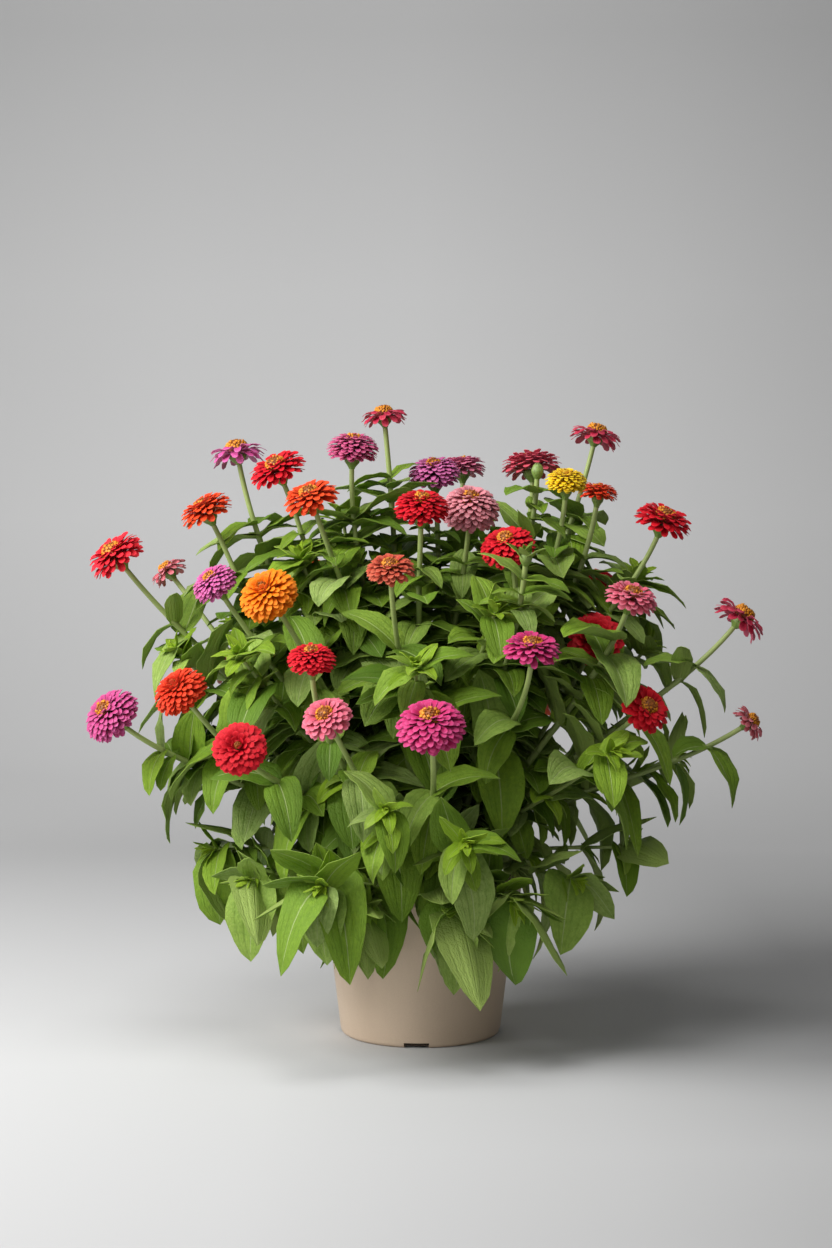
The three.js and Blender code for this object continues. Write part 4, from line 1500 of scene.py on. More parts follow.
DOME_TOP = 0.9
CLOSED_DOME_TOP = 0.995
CLOSED_TIPS = ((0.32, 0.74), (0.12, 0.78))
CLOSED_PETALS = 34
SINGLE_TIPS = ((0.88, -0.38), (1.03, -0.16), (1.08, 0.06), (0.98, 0.28))
DOUBLE_TIPS = ((0.94, -0.18), (1.07, 0.02), (1.08, 0.22), (0.99, 0.42), (0.82, 0.57), (0.58, 0.68))
SINGLE_ROOTS = ((0.26, 0.03), (0.26, 0.22))
DOUBLE_ROOTS = ((0.26, 0.02), (0.24, 0.2), (0.22, 0.36))
DOME_ROOTS = ((0.28, 0.0), (0.2, 0.3), (0.12, 0.6))
SPIRALS = {
    SINGLE: PetalSpiral(32, SINGLE_TIPS, SINGLE_ROOTS, (0.155, 0.145), 0.3, 0.4, 1.0),
    DOUBLE: PetalSpiral(88, DOUBLE_TIPS, DOUBLE_ROOTS, (0.145, 0.115), 0.28, 0.3, 0.8),
    DOME: PetalSpiral(168, dome_tips(1.0, DOME_TOP), DOME_ROOTS, (0.13, 0.1), 0.32, 0.22, 0.6),
}


@dataclass(frozen=True)
class DiscShape:
    """The disc of florets, as shares of the head's radius, and its number of florets."""

    radius: float
    foot: float
    top: float
    florets: int
    open_from: float


DISCS = {
    SINGLE: DiscShape(0.33, 0.14, 0.56, 80, 0.5),
    DOUBLE: DiscShape(0.32, 0.2, 0.66, 76, 0.5),
    DOME: DiscShape(0.25, 0.5, 0.92, 56, 0.4),
}


@dataclass
class HeadBuilder:
    """Builds the flower heads: a spiral of ray petals round a disc of small florets."""

    finishes: "Finishes"
    petal_thickness: float = 0.35
    golden_angle: float = 137.508
    floret_share: float = 0.043

    def __post_init__(self) -> None:
        """Makes the sheets that are bent into petals and florets."""
        self.petal = Template(3, 4, True, (0, 0.42, 0.74, 0.92, 1))
        self.disc = Template(16, 6, False)
        self.floret = Template(10, 2, False)
        self.lot = Lot(SEED)

    def build(self, number: int, bloom: Bloom) -> None:
        """Builds a head's petals and its disc.

        Args:
            number: The head's number.
            bloom: The head.
        """
        placing = head_placing(bloom)
        petals = Batch(self.petal, 0)
        spiral = self.spiral(bloom)
        for i in range(spiral.count):
            share = (i + 0.5) / spiral.count
            turn = i * radians(self.golden_angle) + 0.1 * self.lot.either_way()
            shape = self.petal_shape(spiral, share, turn, bloom, placing)
            # A head's paleness raises its petals' tone; it is partly painted light for a head lying in
            # shade.
            petals.add(shape, self.lot.share() + bloom.pale, share)
        node = f"bloom_{number:02d}"
        piece = joined_piece(node + "_petals", [petals], [self.finishes.petals[bloom.dye]])
        seat(piece, node)
        self.build_disc(node, bloom, placing)

    @staticmethod
    def spiral(bloom: Bloom) -> PetalSpiral:
        """Lays a head's spiral: taller for a tall dome, and further in over a closed disc.

        Args:
            bloom: The head.

        Returns:
            The spiral.
        """
        spiral = SPIRALS[bloom.form]
        is_closed = bloom.disc < 1.0
        if bloom.form is DOME:
            roots = tuple((radius, height * bloom.tall) for radius, height in spiral.roots)
            tips = dome_tips(bloom.tall, CLOSED_DOME_TOP if is_closed else DOME_TOP)
            count = int(spiral.count * (0.35 + 0.65 * bloom.tall))
            return replace(spiral, tips=tips, roots=roots, count=count)
        if is_closed:
            return replace(spiral, tips=(*spiral.tips, *CLOSED_TIPS), count=spiral.count + CLOSED_PETALS)
        return spiral

    def petal_shape(
        self, spiral: PetalSpiral, share_up: float, turn: float, bloom: Bloom, placing: Placing
    ) -> Shape:
        """The shape of one petal.

        Args:
            spiral: The spiral that it belongs to.
            share_up: Its place in the spiral, from 0 for the lowest to 1 for the innermost.
            turn: Its angle round the head.
            bloom: Its head.
            placing: The head's frame.

        Returns:
            The shape.
        """
        lot = self.lot
        radius = bloom.radius
        wild = spiral.wildness
        tip = radius * spiral.at(spiral.tips, share_up)
        tip = tip * [1 - 0.04 * wild + 0.04 * wild * lot.either_way(), 1]
        tip[1] += 0.06 * wild * radius * lot.either_way()
        root = radius * spiral.at(spiral.roots, share_up)
        reach = float(np.linalg.norm(tip - root))
        recurve = spiral.recurve + 0.08 * wild * lot.either_way()
        bend = root + (tip - root) * 0.62 + np.array([0.0, recurve * reach])
        half = radius * float(np.interp(share_up, [0, 1], spiral.half_width)) * lot.between(0.9, 1.1)
        roll = radians(16) * wild * lot.either_way()
        swing = radians(6) * wild * lot.either_way()
        radial = np.array([cos(turn), sin(turn), 0.0])
        sideways = np.array([-sin(turn), cos(turn), 0.0])

        def shape(across: Array, share: Array, under: Array) -> Array:
            """Bends the sheet into the petal."""
            s = share[:, None]
            line = root * (1 - s) ** 2 + bend * 2 * s * (1 - s) + tip * s * s
            slope = (bend - root) * 2 * (1 - s) + (tip - bend) * 2 * s
            slope = slope / np.linalg.norm(slope, axis=1, keepdims=True)
            end = np.sqrt(np.clip(1 - np.clip((share - 0.7) / 0.3, 0, 1) ** 2.4, 0, 1))
            width = half * (0.42 + 0.58 * np.clip(share / 0.7, 0, 1)) * end
            normal = radial * -slope[:, 1:] + UP * slope[:, :1]
            side = sideways * cos(roll) + normal * sin(roll)
            raised = spiral.cup * width * across**2 * (1 - 1.5 * share**2)
            raised = raised - self.petal_thickness * under
            points = radial * line[:, :1] + UP * line[:, 1:]
            points = points + sideways * (swing * line[:, :1] * s)
            return placing(points + side * (width * across)[:, None] + normal * raised[:, None])

        return shape

    def build_disc(self, node: str, bloom: Bloom, placing: Placing) -> None:
        """Builds the disc: a cone of buds with open florets round it.

        Args:
            node: The head's solid.
            bloom: The head.
            placing: The head's frame.
        """
        form = DISCS[bloom.form]
        radius = bloom.radius * form.radius * bloom.disc
        foot = bloom.radius * form.foot
        top = bloom.radius * (form.top + 0.6 * (bloom.tall - 1))
        profile = [(0, foot), (radius, foot), (radius, foot + 0.45 * (top - foot))]
        profile += [(0.82 * radius, foot + 0.78 * (top - foot)), (0.45 * radius, top), (0, top)]
        cone = Batch(self.disc, 0)
        cone.add(revolved(profile, placing), 0.5, 0.0)
        line = np.array(profile[1:])
        steps = distances(line)
        florets = Batch(self.floret, 0)
        for i in range(form.florets):
            outward = sqrt((i + 0.5) / form.florets)
            at = (1 - 0.8 * outward) * steps[-1]
            ring = float(np.interp(at, steps, line[:, 0]))
            height = float(np.interp(at, steps, line[:, 1]))
            angle = i * radians(self.golden_angle) + 0.1 * self.lot.either_way()
            is_open = bloom.disc == 1.0 and outward > form.open_from + 0.15 * self.lot.either_way()
            flat = [ring * cos(angle), ring * sin(angle)]
            lean = np.array([*flat, 0.55 * radius + 0.4 * (height - foot)])
            place = Placing.facing(np.array([*flat, height]), unit(lean))
            size = self.floret_share * bloom.radius * self.lot.between(0.8, 1.2)
            shape = self.floret_shape(place, placing, size, is_open)
            tone = self.lot.share()
            age = self.lot.between(0.7, 1.0) if is_open else 0.15 + 0.35 * outward
            florets.add(shape, tone, age)
        seat(joined_piece(node + "_disc", [cone, florets], [self.finishes.floret]), node)

    @staticmethod
    def floret_shape(place: Placing, placing: Placing, size: float, is_open: bool) -> Shape:
        """A small star-shaped floret, or a closed bud.

        Args:
            place: Its frame on the disc.
            placing: The head's frame.
            size: Its radius.
            is_open: Whether its five lobes are spread.

        Returns:
            The shape.
        """

        def shape(across: Array, share: Array, under: Array) -> Array:
            """Rolls the sheet into a flared tube with five lobes."""
            angle = pi * across
            row = np.rint(share * 2).astype(int)
            lobes = 0.5 * (1 + np.cos(5 * angle))
            if is_open:
                radius = size * np.array([0.0, 0.7, 0.0])[row] * (1 + 0.9 * lobes)
                height = size * np.array([-1.0, 1.7, 1.0])[row] + 0.4 * size * lobes * (row == 1)
            else:
                radius = size * np.array([0.0, 0.7, 0.0])[row]
                height = size * np.array([-1.2, 0.3, 1.2])[row]
            return placing(place(np.stack([radius * np.cos(angle), radius * np.sin(angle), height], 1)))

        return shape


def spun(profile: Sequence[Pair], steps: int) -> BMesh:
    """Spins a section round the pot's axis.

    Args:
        profile: Its radii and heights, in millimetres.
        steps: How many steps the turn has.

    Returns:
        The closed shape, in metres.
    """
    shell = bmesh.new()
    points = [shell.verts.new((radius * MM, 0, height * MM)) for radius, height in profile]
    edges = [shell.edges.new(pair) for pair in zip(points, points[1:])]
    turn = {"cent": (0, 0, 0), "axis": (0, 0, 1), "dvec": (0, 0, 0), "angle": 2 * pi, "steps": steps}
    bmesh.ops.spin(shell, geom=points + edges, use_merge=True, use_duplicate=False, **turn)
    bmesh.ops.remove_doubles(shell, verts=shell.verts, dist=1e-6)
    return shell


@dataclass
class PotBuilder:
    """Builds the pot and the compost in it. Sizes in millimetres, but lump heights in metres."""

    finishes: "Finishes"
    hollow: float = 0.6
    rim_above_slot: float = 1.2
    outer_rings: tuple[float, ...] = (22, 45, 68, 92, 116)
    inner_rings: tuple[float, ...] = (140, 128, 100, 60, 25)
    soil_around: int = 72
    soil_rings: int = 22
    lumps: tuple[Pair, Pair] = ((0.003, 95), (0.0012, 330))
    crumbs: int = 420
    crumb_radii: Pair = (0.8, 2.6)
    crumb_squash: Pair = (0.7, 1.3)

    @staticmethod
    def rounded(corner: Pair, radius: float, start: float, end: float, steps: int) -> list[Pair]:
        """Points of a rounded corner in the pot's section, between two angles round its middle."""
        angles = [radians(start + (end - start) * i / steps) for i in range(steps + 1)]
        return [(corner[0] + radius * cos(a), corner[1] + radius * sin(a)) for a in angles]

    def build_pot(self) -> None:
        """Builds the pot: a tapered shell with a rounded foot, a thick lip and slots in the foot."""
        slope = degrees(np.arctan2(POT.wall_radius - POT.base_radius, POT.height))
        lip_low = POT.height - POT.lip_height
        foot, edge = POT.foot_rounding, POT.edge_rounding
        under = POT.base_radius - POT.slot_reach
        rim = POT.slot_height + self.rim_above_slot
        section = [(0.0, self.hollow), (under - 6, self.hollow), (under - 5, 0.0), (under, 0.0)]
        section += self.rounded((POT.base_radius - foot + 0.4, foot), foot, -90, -slope, 6)
        for height in (rim, *self.outer_rings, lip_low - 1):
            section.append((POT.inner_radius(height) + POT.wall, height))
        section += self.rounded((POT.lip_radius - edge, lip_low + edge), edge, -70, 0, 3)
        section += self.rounded((POT.lip_radius - edge, POT.height - edge), edge, 0, 90, 3)
        inside_lip = (POT.inner_radius(POT.height) + edge, POT.height - edge)
        section += self.rounded(inside_lip, edge, 90, 180, 3)
        for height in (*self.inner_rings, rim, POT.wall):
            section.append((POT.inner_radius(height), height))
        section += [(under, POT.wall), (0.0, POT.wall)]
        shell = spun(section, POT.around)
        bmesh.ops.recalc_face_normals(shell, faces=shell.faces)
        self.cut_slots(shell)
        seat(as_piece("pot_shell", shell, [self.finishes.pot], smooth=True), "pot")

    @staticmethod
    def cut_slots(shell: BMesh) -> None:
        """Opens the drainage slots through the corner of the foot, and joins their rims.

        Args:
            shell: The pot's mesh.
        """
        half = 180 * POT.slot_steps / POT.around
        low = (POT.base_radius - POT.slot_reach - 0.01) * MM
        middles = [POT.first_slot + 360 * i / POT.slots for i in range(POT.slots)]
        doomed = []
        for face in shell.faces:
            middle = face.calc_center_median()
            angle = degrees(np.arctan2(middle.y, middle.x))
            across = min(abs((angle - one + 180) % 360 - 180) for one in middles)
            is_low = middle.z < (POT.slot_height + 0.9) * MM
            if across < half and is_low and middle.xy.length > low:
                doomed.append(face)
        bmesh.ops.delete(shell, geom=doomed, context="FACES")
        rims = [edge for edge in shell.edges if edge.is_boundary]
        for one in middles:
            outward = Vector(leaning(90, one))
            own = [edge for edge in rims if (edge.verts[0].co + edge.verts[1].co).dot(outward) > 0.1]
            for edge in own:
                edge.smooth = False
            bmesh.ops.bridge_loops(shell, edges=own)
        bmesh.ops.recalc_face_normals(shell, faces=shell.faces)

    def build_compost(self) -> None:
        """Builds the compost: a lumpy, slightly crowned fill with loose crumbs on top."""
        lot = Lot(SEED)
        floor = POT.wall + POT.soil_gap
        rim = POT.inner_radius(POT.soil_top) - POT.soil_gap
        foot = POT.inner_radius(floor) - 2 * POT.soil_gap
        profile = [(0.0, floor), (foot, floor), (0.5 * (foot + rim), 0.5 * POT.soil_top)]
        profile += [(rim, POT.soil_top - 3)]
        for i in range(1, self.soil_rings + 1):
            share = 1 - i / self.soil_rings
            profile.append((rim * share, POT.soil_top + POT.soil_crown * (1 - share**3) - 0.5))
        fill = spun(profile, self.soil_around)
        for vert in fill.verts:
            if vert.co.z > (POT.soil_top - 1) * MM and vert.co.xy.length < (rim - 1) * MM:
                vert.co.z += sum(high * noise.noise(vert.co * often) for high, often in self.lumps)
        for _ in range(self.crumbs):
            radius = rim * sqrt(lot.share()) * 0.97
            angle = 2 * pi * lot.share()
            height = POT.soil_top + POT.soil_crown * (1 - (radius / rim) ** 3)
            where = Vector((radius * cos(angle), radius * sin(angle), height)) * MM
            size = lot.between(*self.crumb_radii) * MM
            crumb = bmesh.ops.create_icosphere(fill, subdivisions=1, radius=size)
            squash = (lot.between(*self.crumb_squash), lot.between(*self.crumb_squash), 0.7, 1)
            turned = Euler((6 * lot.share(), 6 * lot.share(), 6 * lot.share())).to_matrix().to_4x4()
            matrix = Matrix.Translation(where) @ turned @ Matrix.Diagonal(squash)
            bmesh.ops.transform(fill, matrix=matrix, verts=crumb["verts"])
        bmesh.ops.recalc_face_normals(fill, faces=fill.faces)
        seat(as_piece("compost_fill", fill, [self.finishes.compost]), "soil")


def tint(code: str) -> tuple[float, float, float, float]:
    """A screen colour such as "9c8b7a" as the linear colour that shaders use.

    Args:
        code: The screen colour.

    Returns:
        The linear colour.
    """
    values = [int(code[i : i + 2], 16) / 255 for i in (0, 2, 4)]
    linear = [v / 12.92 if v <= 0.04045 else ((v + 0.055) / 1.055) ** 2.4 for v in values]
    return (*linear, 1.0)


class Tree:
    """A node tree that is built by naming nodes and what feeds them. A feed in text is a screen colour."""

    def __init__(self, tree: NodeTree) -> None:
        """Wraps a tree."""
        self.tree = tree

    def feed(self, node: Node, feeds: dict[str | int, Feed]) -> None:
        """Feeds a node.

        Args:
            node: The node.
            feeds: What feeds each input by its name or number: another node's output, or a value.
        """
        for key, value in feeds.items():
            if isinstance(value, NodeSocket):
                self.tree.links.new(value, node.inputs[key])
            else:
                node.inputs[key].default_value = tint(value) if isinstance(value, str) else value

    def add(self, kind: str, feeds: dict[str | int, Feed] | None = None, **settings: object) -> Node:
        """Adds a node.

        Args:
            kind: Its type, without the ShaderNode prefix.
            feeds: What feeds it.
            settings: Its properties.

        Returns:
            The node.
        """
        node = self.tree.nodes.new("ShaderNode" + kind)
        for name, value in settings.items():
            setattr(node, name, value)
        self.feed(node, feeds or {})
        return node

    def ramp(self, factor: NodeSocket, *stops: Pair) -> NodeSocket:
        """A ramp from a value to a grey value.

        Args:
            factor: The value.
            stops: Its places and their values.

        Returns:
            The ramp's output.
        """
        node = self.add("ValToRGB", {"Fac": factor})
        elements = node.color_ramp.elements
        while len(elements) < len(stops):
            elements.new(0.5)
        for element, (place, value) in zip(elements, stops):
            element.position = place
            element.color = (value, value, value, 1)
        return node.outputs["Color"]

    def mix(self, factor: Feed, first: Feed, second: Feed, blend: str = "MIX") -> NodeSocket:
        """Mixes two colours, by the share of the second."""
        feeds = {0: factor, 6: first, 7: second}
        return self.add("Mix", feeds, data_type="RGBA", blend_type=blend).outputs[2]

    def math(self, operation: str, *values: Feed, clamp: bool = False) -> NodeSocket:
        """Does a sum, which may be kept from 0 to 1."""
        return self.add("Math", dict(enumerate(values)), operation=operation, use_clamp=clamp).outputs[0]

    def times(self, value: NodeSocket, factor: Feed) -> NodeSocket:
        """A value times another."""
        return self.math("MULTIPLY", value, factor)

    def share(self, value: NodeSocket, low: float, high: float) -> NodeSocket:
        """How far a value is from a low one to a high one, from 0 to 1."""
        return self.add("MapRange", {"Value": value, "From Min": low, "From Max": high}).outputs[0]

    def noise(self, place: NodeSocket, scale: Feed, detail: float = 2.0) -> NodeSocket:
        """Noise, from about 0 to 1."""
        return self.add("TexNoise", {"Vector": place, "Scale": scale, "Detail": detail}).outputs[0]

    def attribute(self, name: str) -> NodeSocket:
        """The output of one of the mesh's attributes."""
        return self.add("Attribute", attribute_name=name).outputs["Fac"]

    def place(self) -> NodeSocket:
        """The place on the object."""
        return self.add("TexCoord").outputs["Object"]

    def sheet(self) -> NodeSocket:
        """The place on the leaf's, petal's or stem's own sheet."""
        return self.add("UVMap", uv_map="UVMap").outputs[0]

    def parts(self, vector: NodeSocket) -> Sequence[NodeSocket]:
        """The three parts of a place. Those of a sheet are across it and along it."""
        return self.add("SeparateXYZ", {0: vector}).outputs


class Group(Tree):
    """A shader node group that several finishes share."""

    def __init__(self, name: str, inputs: dict[str, str], outputs: dict[str, str]) -> None:
        """Makes the group and its sockets.

        Args:
            name: The group's name.
            inputs: The kind of each input by its name.
            outputs: The kind of each output by its name.
        """
        tree = bpy.data.node_groups.new(name, "ShaderNodeTree")
        for way, sockets in (("INPUT", inputs), ("OUTPUT", outputs)):
            for socket, kind in sockets.items():
                tree.interface.new_socket(name=socket, in_out=way, socket_type="NodeSocket" + kind)
        super().__init__(tree)
        self.given = tree.nodes.new("NodeGroupInput").outputs
        self.result = tree.nodes.new("NodeGroupOutput")


def mottle_group() -> Group:
    """Soft blotches and fine grain that shift a colour, with their height.

    Returns:
        The group.
    """
    group = Group(
        "mottle",
        {"Colour": "Color", "Dark": "Color", "Scale": "Float", "Fine Scale": "Float", "Strength": "Float"},
        {"Colour": "Color", "Height": "Float"},
    )
    given = group.given
    place = group.place()
    broad = group.times(group.noise(place, given["Scale"], 4.0), 0.55)
    both = group.math("MULTIPLY_ADD", group.noise(place, given["Fine Scale"], 3.0), 0.45, broad)
    amount = group.math("MULTIPLY", group.share(both, 0.34, 0.66), given["Strength"], clamp=True)
    colour = group.mix(amount, given["Colour"], given["Dark"])
    group.feed(group.result, {"Colour": colour, "Height": both})
    return group


def leaf_vein_group() -> Group:
    """The veins of a leaf: a midrib, and arcs from base to tip with a fine net between them.

    Returns:
        The group.
    """
    group = Group(
        "leaf_veins",
        {"Net Scale": "Float"},
        {"Midrib": "Float", "Veins": "Float", "Net": "Float", "Height": "Float"},
    )
    math = group.math
    sheet = group.sheet()
    parts = group.parts(sheet)
    across = math("ABSOLUTE", math("MULTIPLY_ADD", parts[0], 2.0, -1.0))
    bent = math("MULTIPLY_ADD", group.noise(sheet, 6.0, 1.0), 0.05, math("SUBTRACT", across, 0.025))
    midrib = math("SUBTRACT", 1.0, math("DIVIDE", across, 0.05), clamp=True)
    veins = midrib
    for place, half, strength in ((0.3, 0.08, 1.0), (0.62, 0.07, 0.8)):
        apart = math("ABSOLUTE", math("SUBTRACT", bent, place))
        line = math("SUBTRACT", 1.0, math("DIVIDE", apart, half), clamp=True)
        veins = math("MAXIMUM", veins, group.times(line, strength))
    slanted = group.add("CombineXYZ", {0: across, 1: group.times(parts[1], 2.2)}).outputs[0]
    feeds = {"Vector": slanted, "Scale": group.given["Net Scale"]}
    cells = group.add("TexVoronoi", feeds, feature="DISTANCE_TO_EDGE").outputs["Distance"]
    net = math("SUBTRACT", 1.0, group.share(cells, 0.0, 0.12), clamp=True)
    height = math("MULTIPLY_ADD", veins, -0.45, group.times(net, -0.22))
    height = math("MULTIPLY_ADD", group.noise(slanted, 11.0), 0.8, height)
    group.feed(group.result, {"Midrib": midrib, "Veins": veins, "Net": net, "Height": height})
    return group


def petal_streak_group() -> Group:
    """The lengthwise grooves of a petal and its paler edge.

    Returns:
        The group.
    """
    outputs = {"Streaks": "Float", "Edge": "Float", "Tip": "Float"}
    group = Group("petal_streaks", {"Grooves": "Float"}, outputs)
    math = group.math
    parts = group.parts(group.sheet())
    across = math("MULTIPLY_ADD", parts[0], 2.0, -1.0)
    wave = math("SINE", group.times(across, group.given["Grooves"]))
    stretched = group.add("CombineXYZ", {0: group.times(across, 7.0), 1: parts[1]}).outputs[0]
    streaks = math("MULTIPLY_ADD", wave, 0.25, group.noise(stretched, 1.6), clamp=True)
    side = group.times(math("POWER", math("ABSOLUTE", across), 4.0), 0.6)
    edge = math("MAXIMUM", side, group.share(parts[1], 0.8, 1.0))
    group.feed(group.result, {"Streaks": streaks, "Edge": edge, "Tip": parts[1]})
    return group


class Paint(Tree):
    """A material round one Principled shader."""

    def __init__(self, name: str) -> None:
        """Makes the material.

        Args:
            name: Its name.
        """
        self.material = bpy.data.materials.new(name)
        self.material.use_nodes = True
        super().__init__(self.material.node_tree)
        self.shader = self.tree.nodes["Principled BSDF"]

    def use(self, group: Group, feeds: dict[str | int, Feed]) -> Sequence[NodeSocket]:
        """The outputs of a shared group with this material's own values."""
        return self.add("Group", feeds, node_tree=group.tree).outputs

    def blotched(self, group: Group, *values: Feed) -> Sequence[NodeSocket]:
        """The shared blotches: over a colour, with a darker one, two scales and a strength."""
        return self.use(group, dict(zip(("Colour", "Dark", "Scale", "Fine Scale", "Strength"), values)))

    def dress(
        self,
        colour: NodeSocket,
        rough: tuple[NodeSocket, float, float],
        bump: tuple[NodeSocket, float, float] | None = None,
        glow: tuple[float, Triple, float] | None = None,
    ) -> Material:
        """Feeds the shader.

        Args:
            colour: The surface's colour.
            rough: What its roughness follows, by how much, and what it starts from.
            bump: What raises the surface, how strongly, and how far in metres.
            glow: How much light passes under the surface, how far each colour goes, and its scale.

        Returns:
            The material.
        """
        self.feed(self.shader, {"Base Color": colour, "Roughness": self.math("MULTIPLY_ADD", *rough)})
        if bump:
            given = dict(zip(("Height", "Strength", "Distance"), bump))
            self.feed(self.shader, {"Normal": self.add("Bump", given).outputs[0]})
        if glow:
            names = ("Subsurface Weight", "Subsurface Radius", "Subsurface Scale")
            self.feed(self.shader, dict(zip(names, glow)))
        return self.material


@dataclass(frozen=True)
class LeafFinish:
    """Leaf colours: full-grown and young upper faces, the paler underside and midrib, painted sheen and
    vein shade.
    """

    grown: str = "88a82a"
    # A darker leaf's own green, also painted as shade in the side veins and the net.
    dark: str = "567818"
    # A paler, greyer green: partly a leaf's own tone, partly painted sheen.
    pale: str = "a8bc70"
    young: str = "acd01c"
    under: str = "96ac56"
    vein: str = "c0ce90"
    roughness: float = 0.58

    def material(self, mottle: Group, veins: Group) -> Material:
        """Builds the material.

        Args:
            mottle: The group of blotches.
            veins: The group of leaf veins.

        Returns:
            The material.
        """
        paint = Paint("leaf")
        tone = paint.attribute("tone")
        age = paint.ramp(paint.attribute("age"), (0, 0), (0.2, 0.5), (0.42, 0.85), (0.8, 1))
        grown = paint.mix(paint.ramp(tone, (0, 0), (0.45, 1)), self.dark, self.grown)
        # Leaves of high tone are painted paler and greyer: partly their own tone, partly painted sheen.
        grown = paint.mix(paint.ramp(tone, (0.55, 0), (1, 1)), grown, self.pale)
        blotched = paint.blotched(mottle, grown, self.dark, 26.0, 240.0, 0.6)
        upper = paint.mix(age, self.young, blotched["Colour"])
        lines = paint.use(veins, {"Net Scale": 9.0})
        # Painted shade: the side veins and the fine net are painted darker, as shade in their grooves; the
        # midrib takes its own paler colour.
        for name, share, colour in (
            ("Veins", 0.24, self.dark), ("Net", 0.16, self.dark), ("Midrib", 0.6, self.vein)
        ):
            upper = paint.mix(paint.times(lines[name], share), upper, colour)
        both = paint.mix(paint.attribute("under"), upper, paint.mix(age, self.young, self.under))
        paint.feed(paint.shader, {"Specular IOR Level": 0.34})
        rough = (blotched["Height"], 0.16, self.roughness)
        bump = (lines["Height"], 0.8, 0.0013)
        return paint.dress(both, rough, bump, glow=(0.12, (0.006, 0.008, 0.002), 0.3))


@dataclass(frozen=True)
class StemFinish:
    """Stem colours, pale green with a darker side to the grain."""

    name: str
    colour: str
    dark: str
    tip: str
    roughness: float = 0.4

    def material(self, mottle: Group) -> Material:
        """Builds the material.

        Args:
            mottle: The group of blotches.

        Returns:
            The material.
        """
        paint = Paint(self.name)
        blotched = paint.blotched(mottle, self.colour, self.dark, 60.0, 420.0, 0.7)
        end = paint.ramp(paint.parts(paint.sheet())[1], (0, 0), (0.7, 0), (0.96, 1))
        colour = paint.mix(paint.times(end, 0.8), blotched["Colour"], self.tip)
        height = blotched["Height"]
        return paint.dress(colour, (height, 0.2, self.roughness), (height, 0.4, 0.0004))


@dataclass(frozen=True)
class PetalFinish:
    """Petal colours: the blade, its depth near the root, its edge and its underside."""

    blade: str
    deep: str
    edge: str
    under: str

    def material(self, name: str, streaks: Group) -> Material:
        """Builds the material.

        Args:
            name: The material's name.
            streaks: The group of petal grooves.

        Returns:
            The material.
        """
        paint = Paint(name)
        lines = paint.use(streaks, {"Grooves": 11.0})
        # The tone, random and raised by a head's paleness, moves the blade towards the edge colour; the
        # raise is partly painted light.
        paler = paint.math("MULTIPLY", paint.attribute("tone"), 0.35, clamp=True)
        blade = paint.mix(paler, self.blade, self.edge)
        depth = paint.times(paint.ramp(lines["Tip"], (0, 1), (0.35, 0.85), (0.8, 0)), 0.56)
        upper = paint.mix(depth, blade, self.deep)
        upper = paint.mix(paint.times(lines["Streaks"], 0.2), upper, self.deep)
        upper = paint.mix(paint.times(lines["Edge"], 0.55), upper, self.edge)
        both = paint.mix(paint.attribute("under"), upper, self.under)
        paint.feed(paint.shader, {"Specular IOR Level": 0.18})
        relief = lines["Streaks"]
        glow = (0.2, (0.008, 0.004, 0.004), 0.5)
        return paint.dress(both, (relief, 0.12, 0.48), (relief, 0.5, 0.0004), glow)


@dataclass(frozen=True)
class FloretFinish:
    """Disc colours, from the closed middle buds to the open florets."""

    bud: str = "74401a"
    middle: str = "b4660e"
    open: str = "ec9c14"

    def material(self) -> Material:
        """Builds the material.

        Returns:
            The material.
        """
        paint = Paint("florets")
        age = paint.attribute("age")
        colour = paint.mix(paint.ramp(age, (0, 0), (0.45, 1)), self.bud, self.middle)
        colour = paint.mix(paint.ramp(age, (0.5, 0), (0.9, 1)), colour, self.open)
        end = paint.ramp(paint.parts(paint.sheet())[1], (0.75, 0), (1, 0.6))
        colour = paint.mix(end, colour, self.middle)
        colour = paint.mix(paint.times(paint.attribute("tone"), 0.25), colour, self.middle)
        return paint.dress(colour, (paint.noise(paint.place(), 900.0), 0.2, 0.45))


@dataclass(frozen=True)
class PlasticFinish:
    """The pot's satin plastic, faintly brushed downwards."""

    colour: str = "d2bca4"
    dark: str = "c2ac94"

    def material(self, mottle: Group) -> Material:
        """Builds the material.

        Args:
            mottle: The group of blotches.

        Returns:
            The material.
        """
        paint = Paint("pot_plastic")
        blotched = paint.blotched(mottle, self.colour, self.dark, 14.0, 900.0, 0.6)
        drawn = paint.add("Mapping", {"Vector": paint.place(), "Scale": (260.0, 260.0, 6.0)})
        lines = paint.noise(drawn.outputs[0], 1.0)
        colour = paint.mix(paint.times(lines, 0.22), blotched["Colour"], self.dark)
        return paint.dress(colour, (lines, 0.12, 0.4), (blotched["Height"], 0.12, 0.0002))


@dataclass(frozen=True)
class CompostFinish:
    """Dark, fibrous potting compost with paler bits."""

    colour: str = "4a382a"
    dark: str = "1f1610"
    pale: str = "8d7a60"

    def material(self, mottle: Group) -> Material:
        """Builds the material.

        Args:
            mottle: The group of blotches.

        Returns:
            The material.
        """
        paint = Paint("compost")
        blotched = paint.blotched(mottle, self.colour, self.dark, 120.0, 700.0, 1.0)
        bits = paint.add("TexVoronoi", {"Vector": paint.place(), "Scale": 380.0}).outputs["Distance"]
        colour = paint.mix(paint.ramp(bits, (0, 0.7), (0.2, 0)), blotched["Colour"], self.pale)
        height = blotched["Height"]
        return paint.dress(colour, (height, 0.2, 0.78), (height, 0.8, 0.0012))


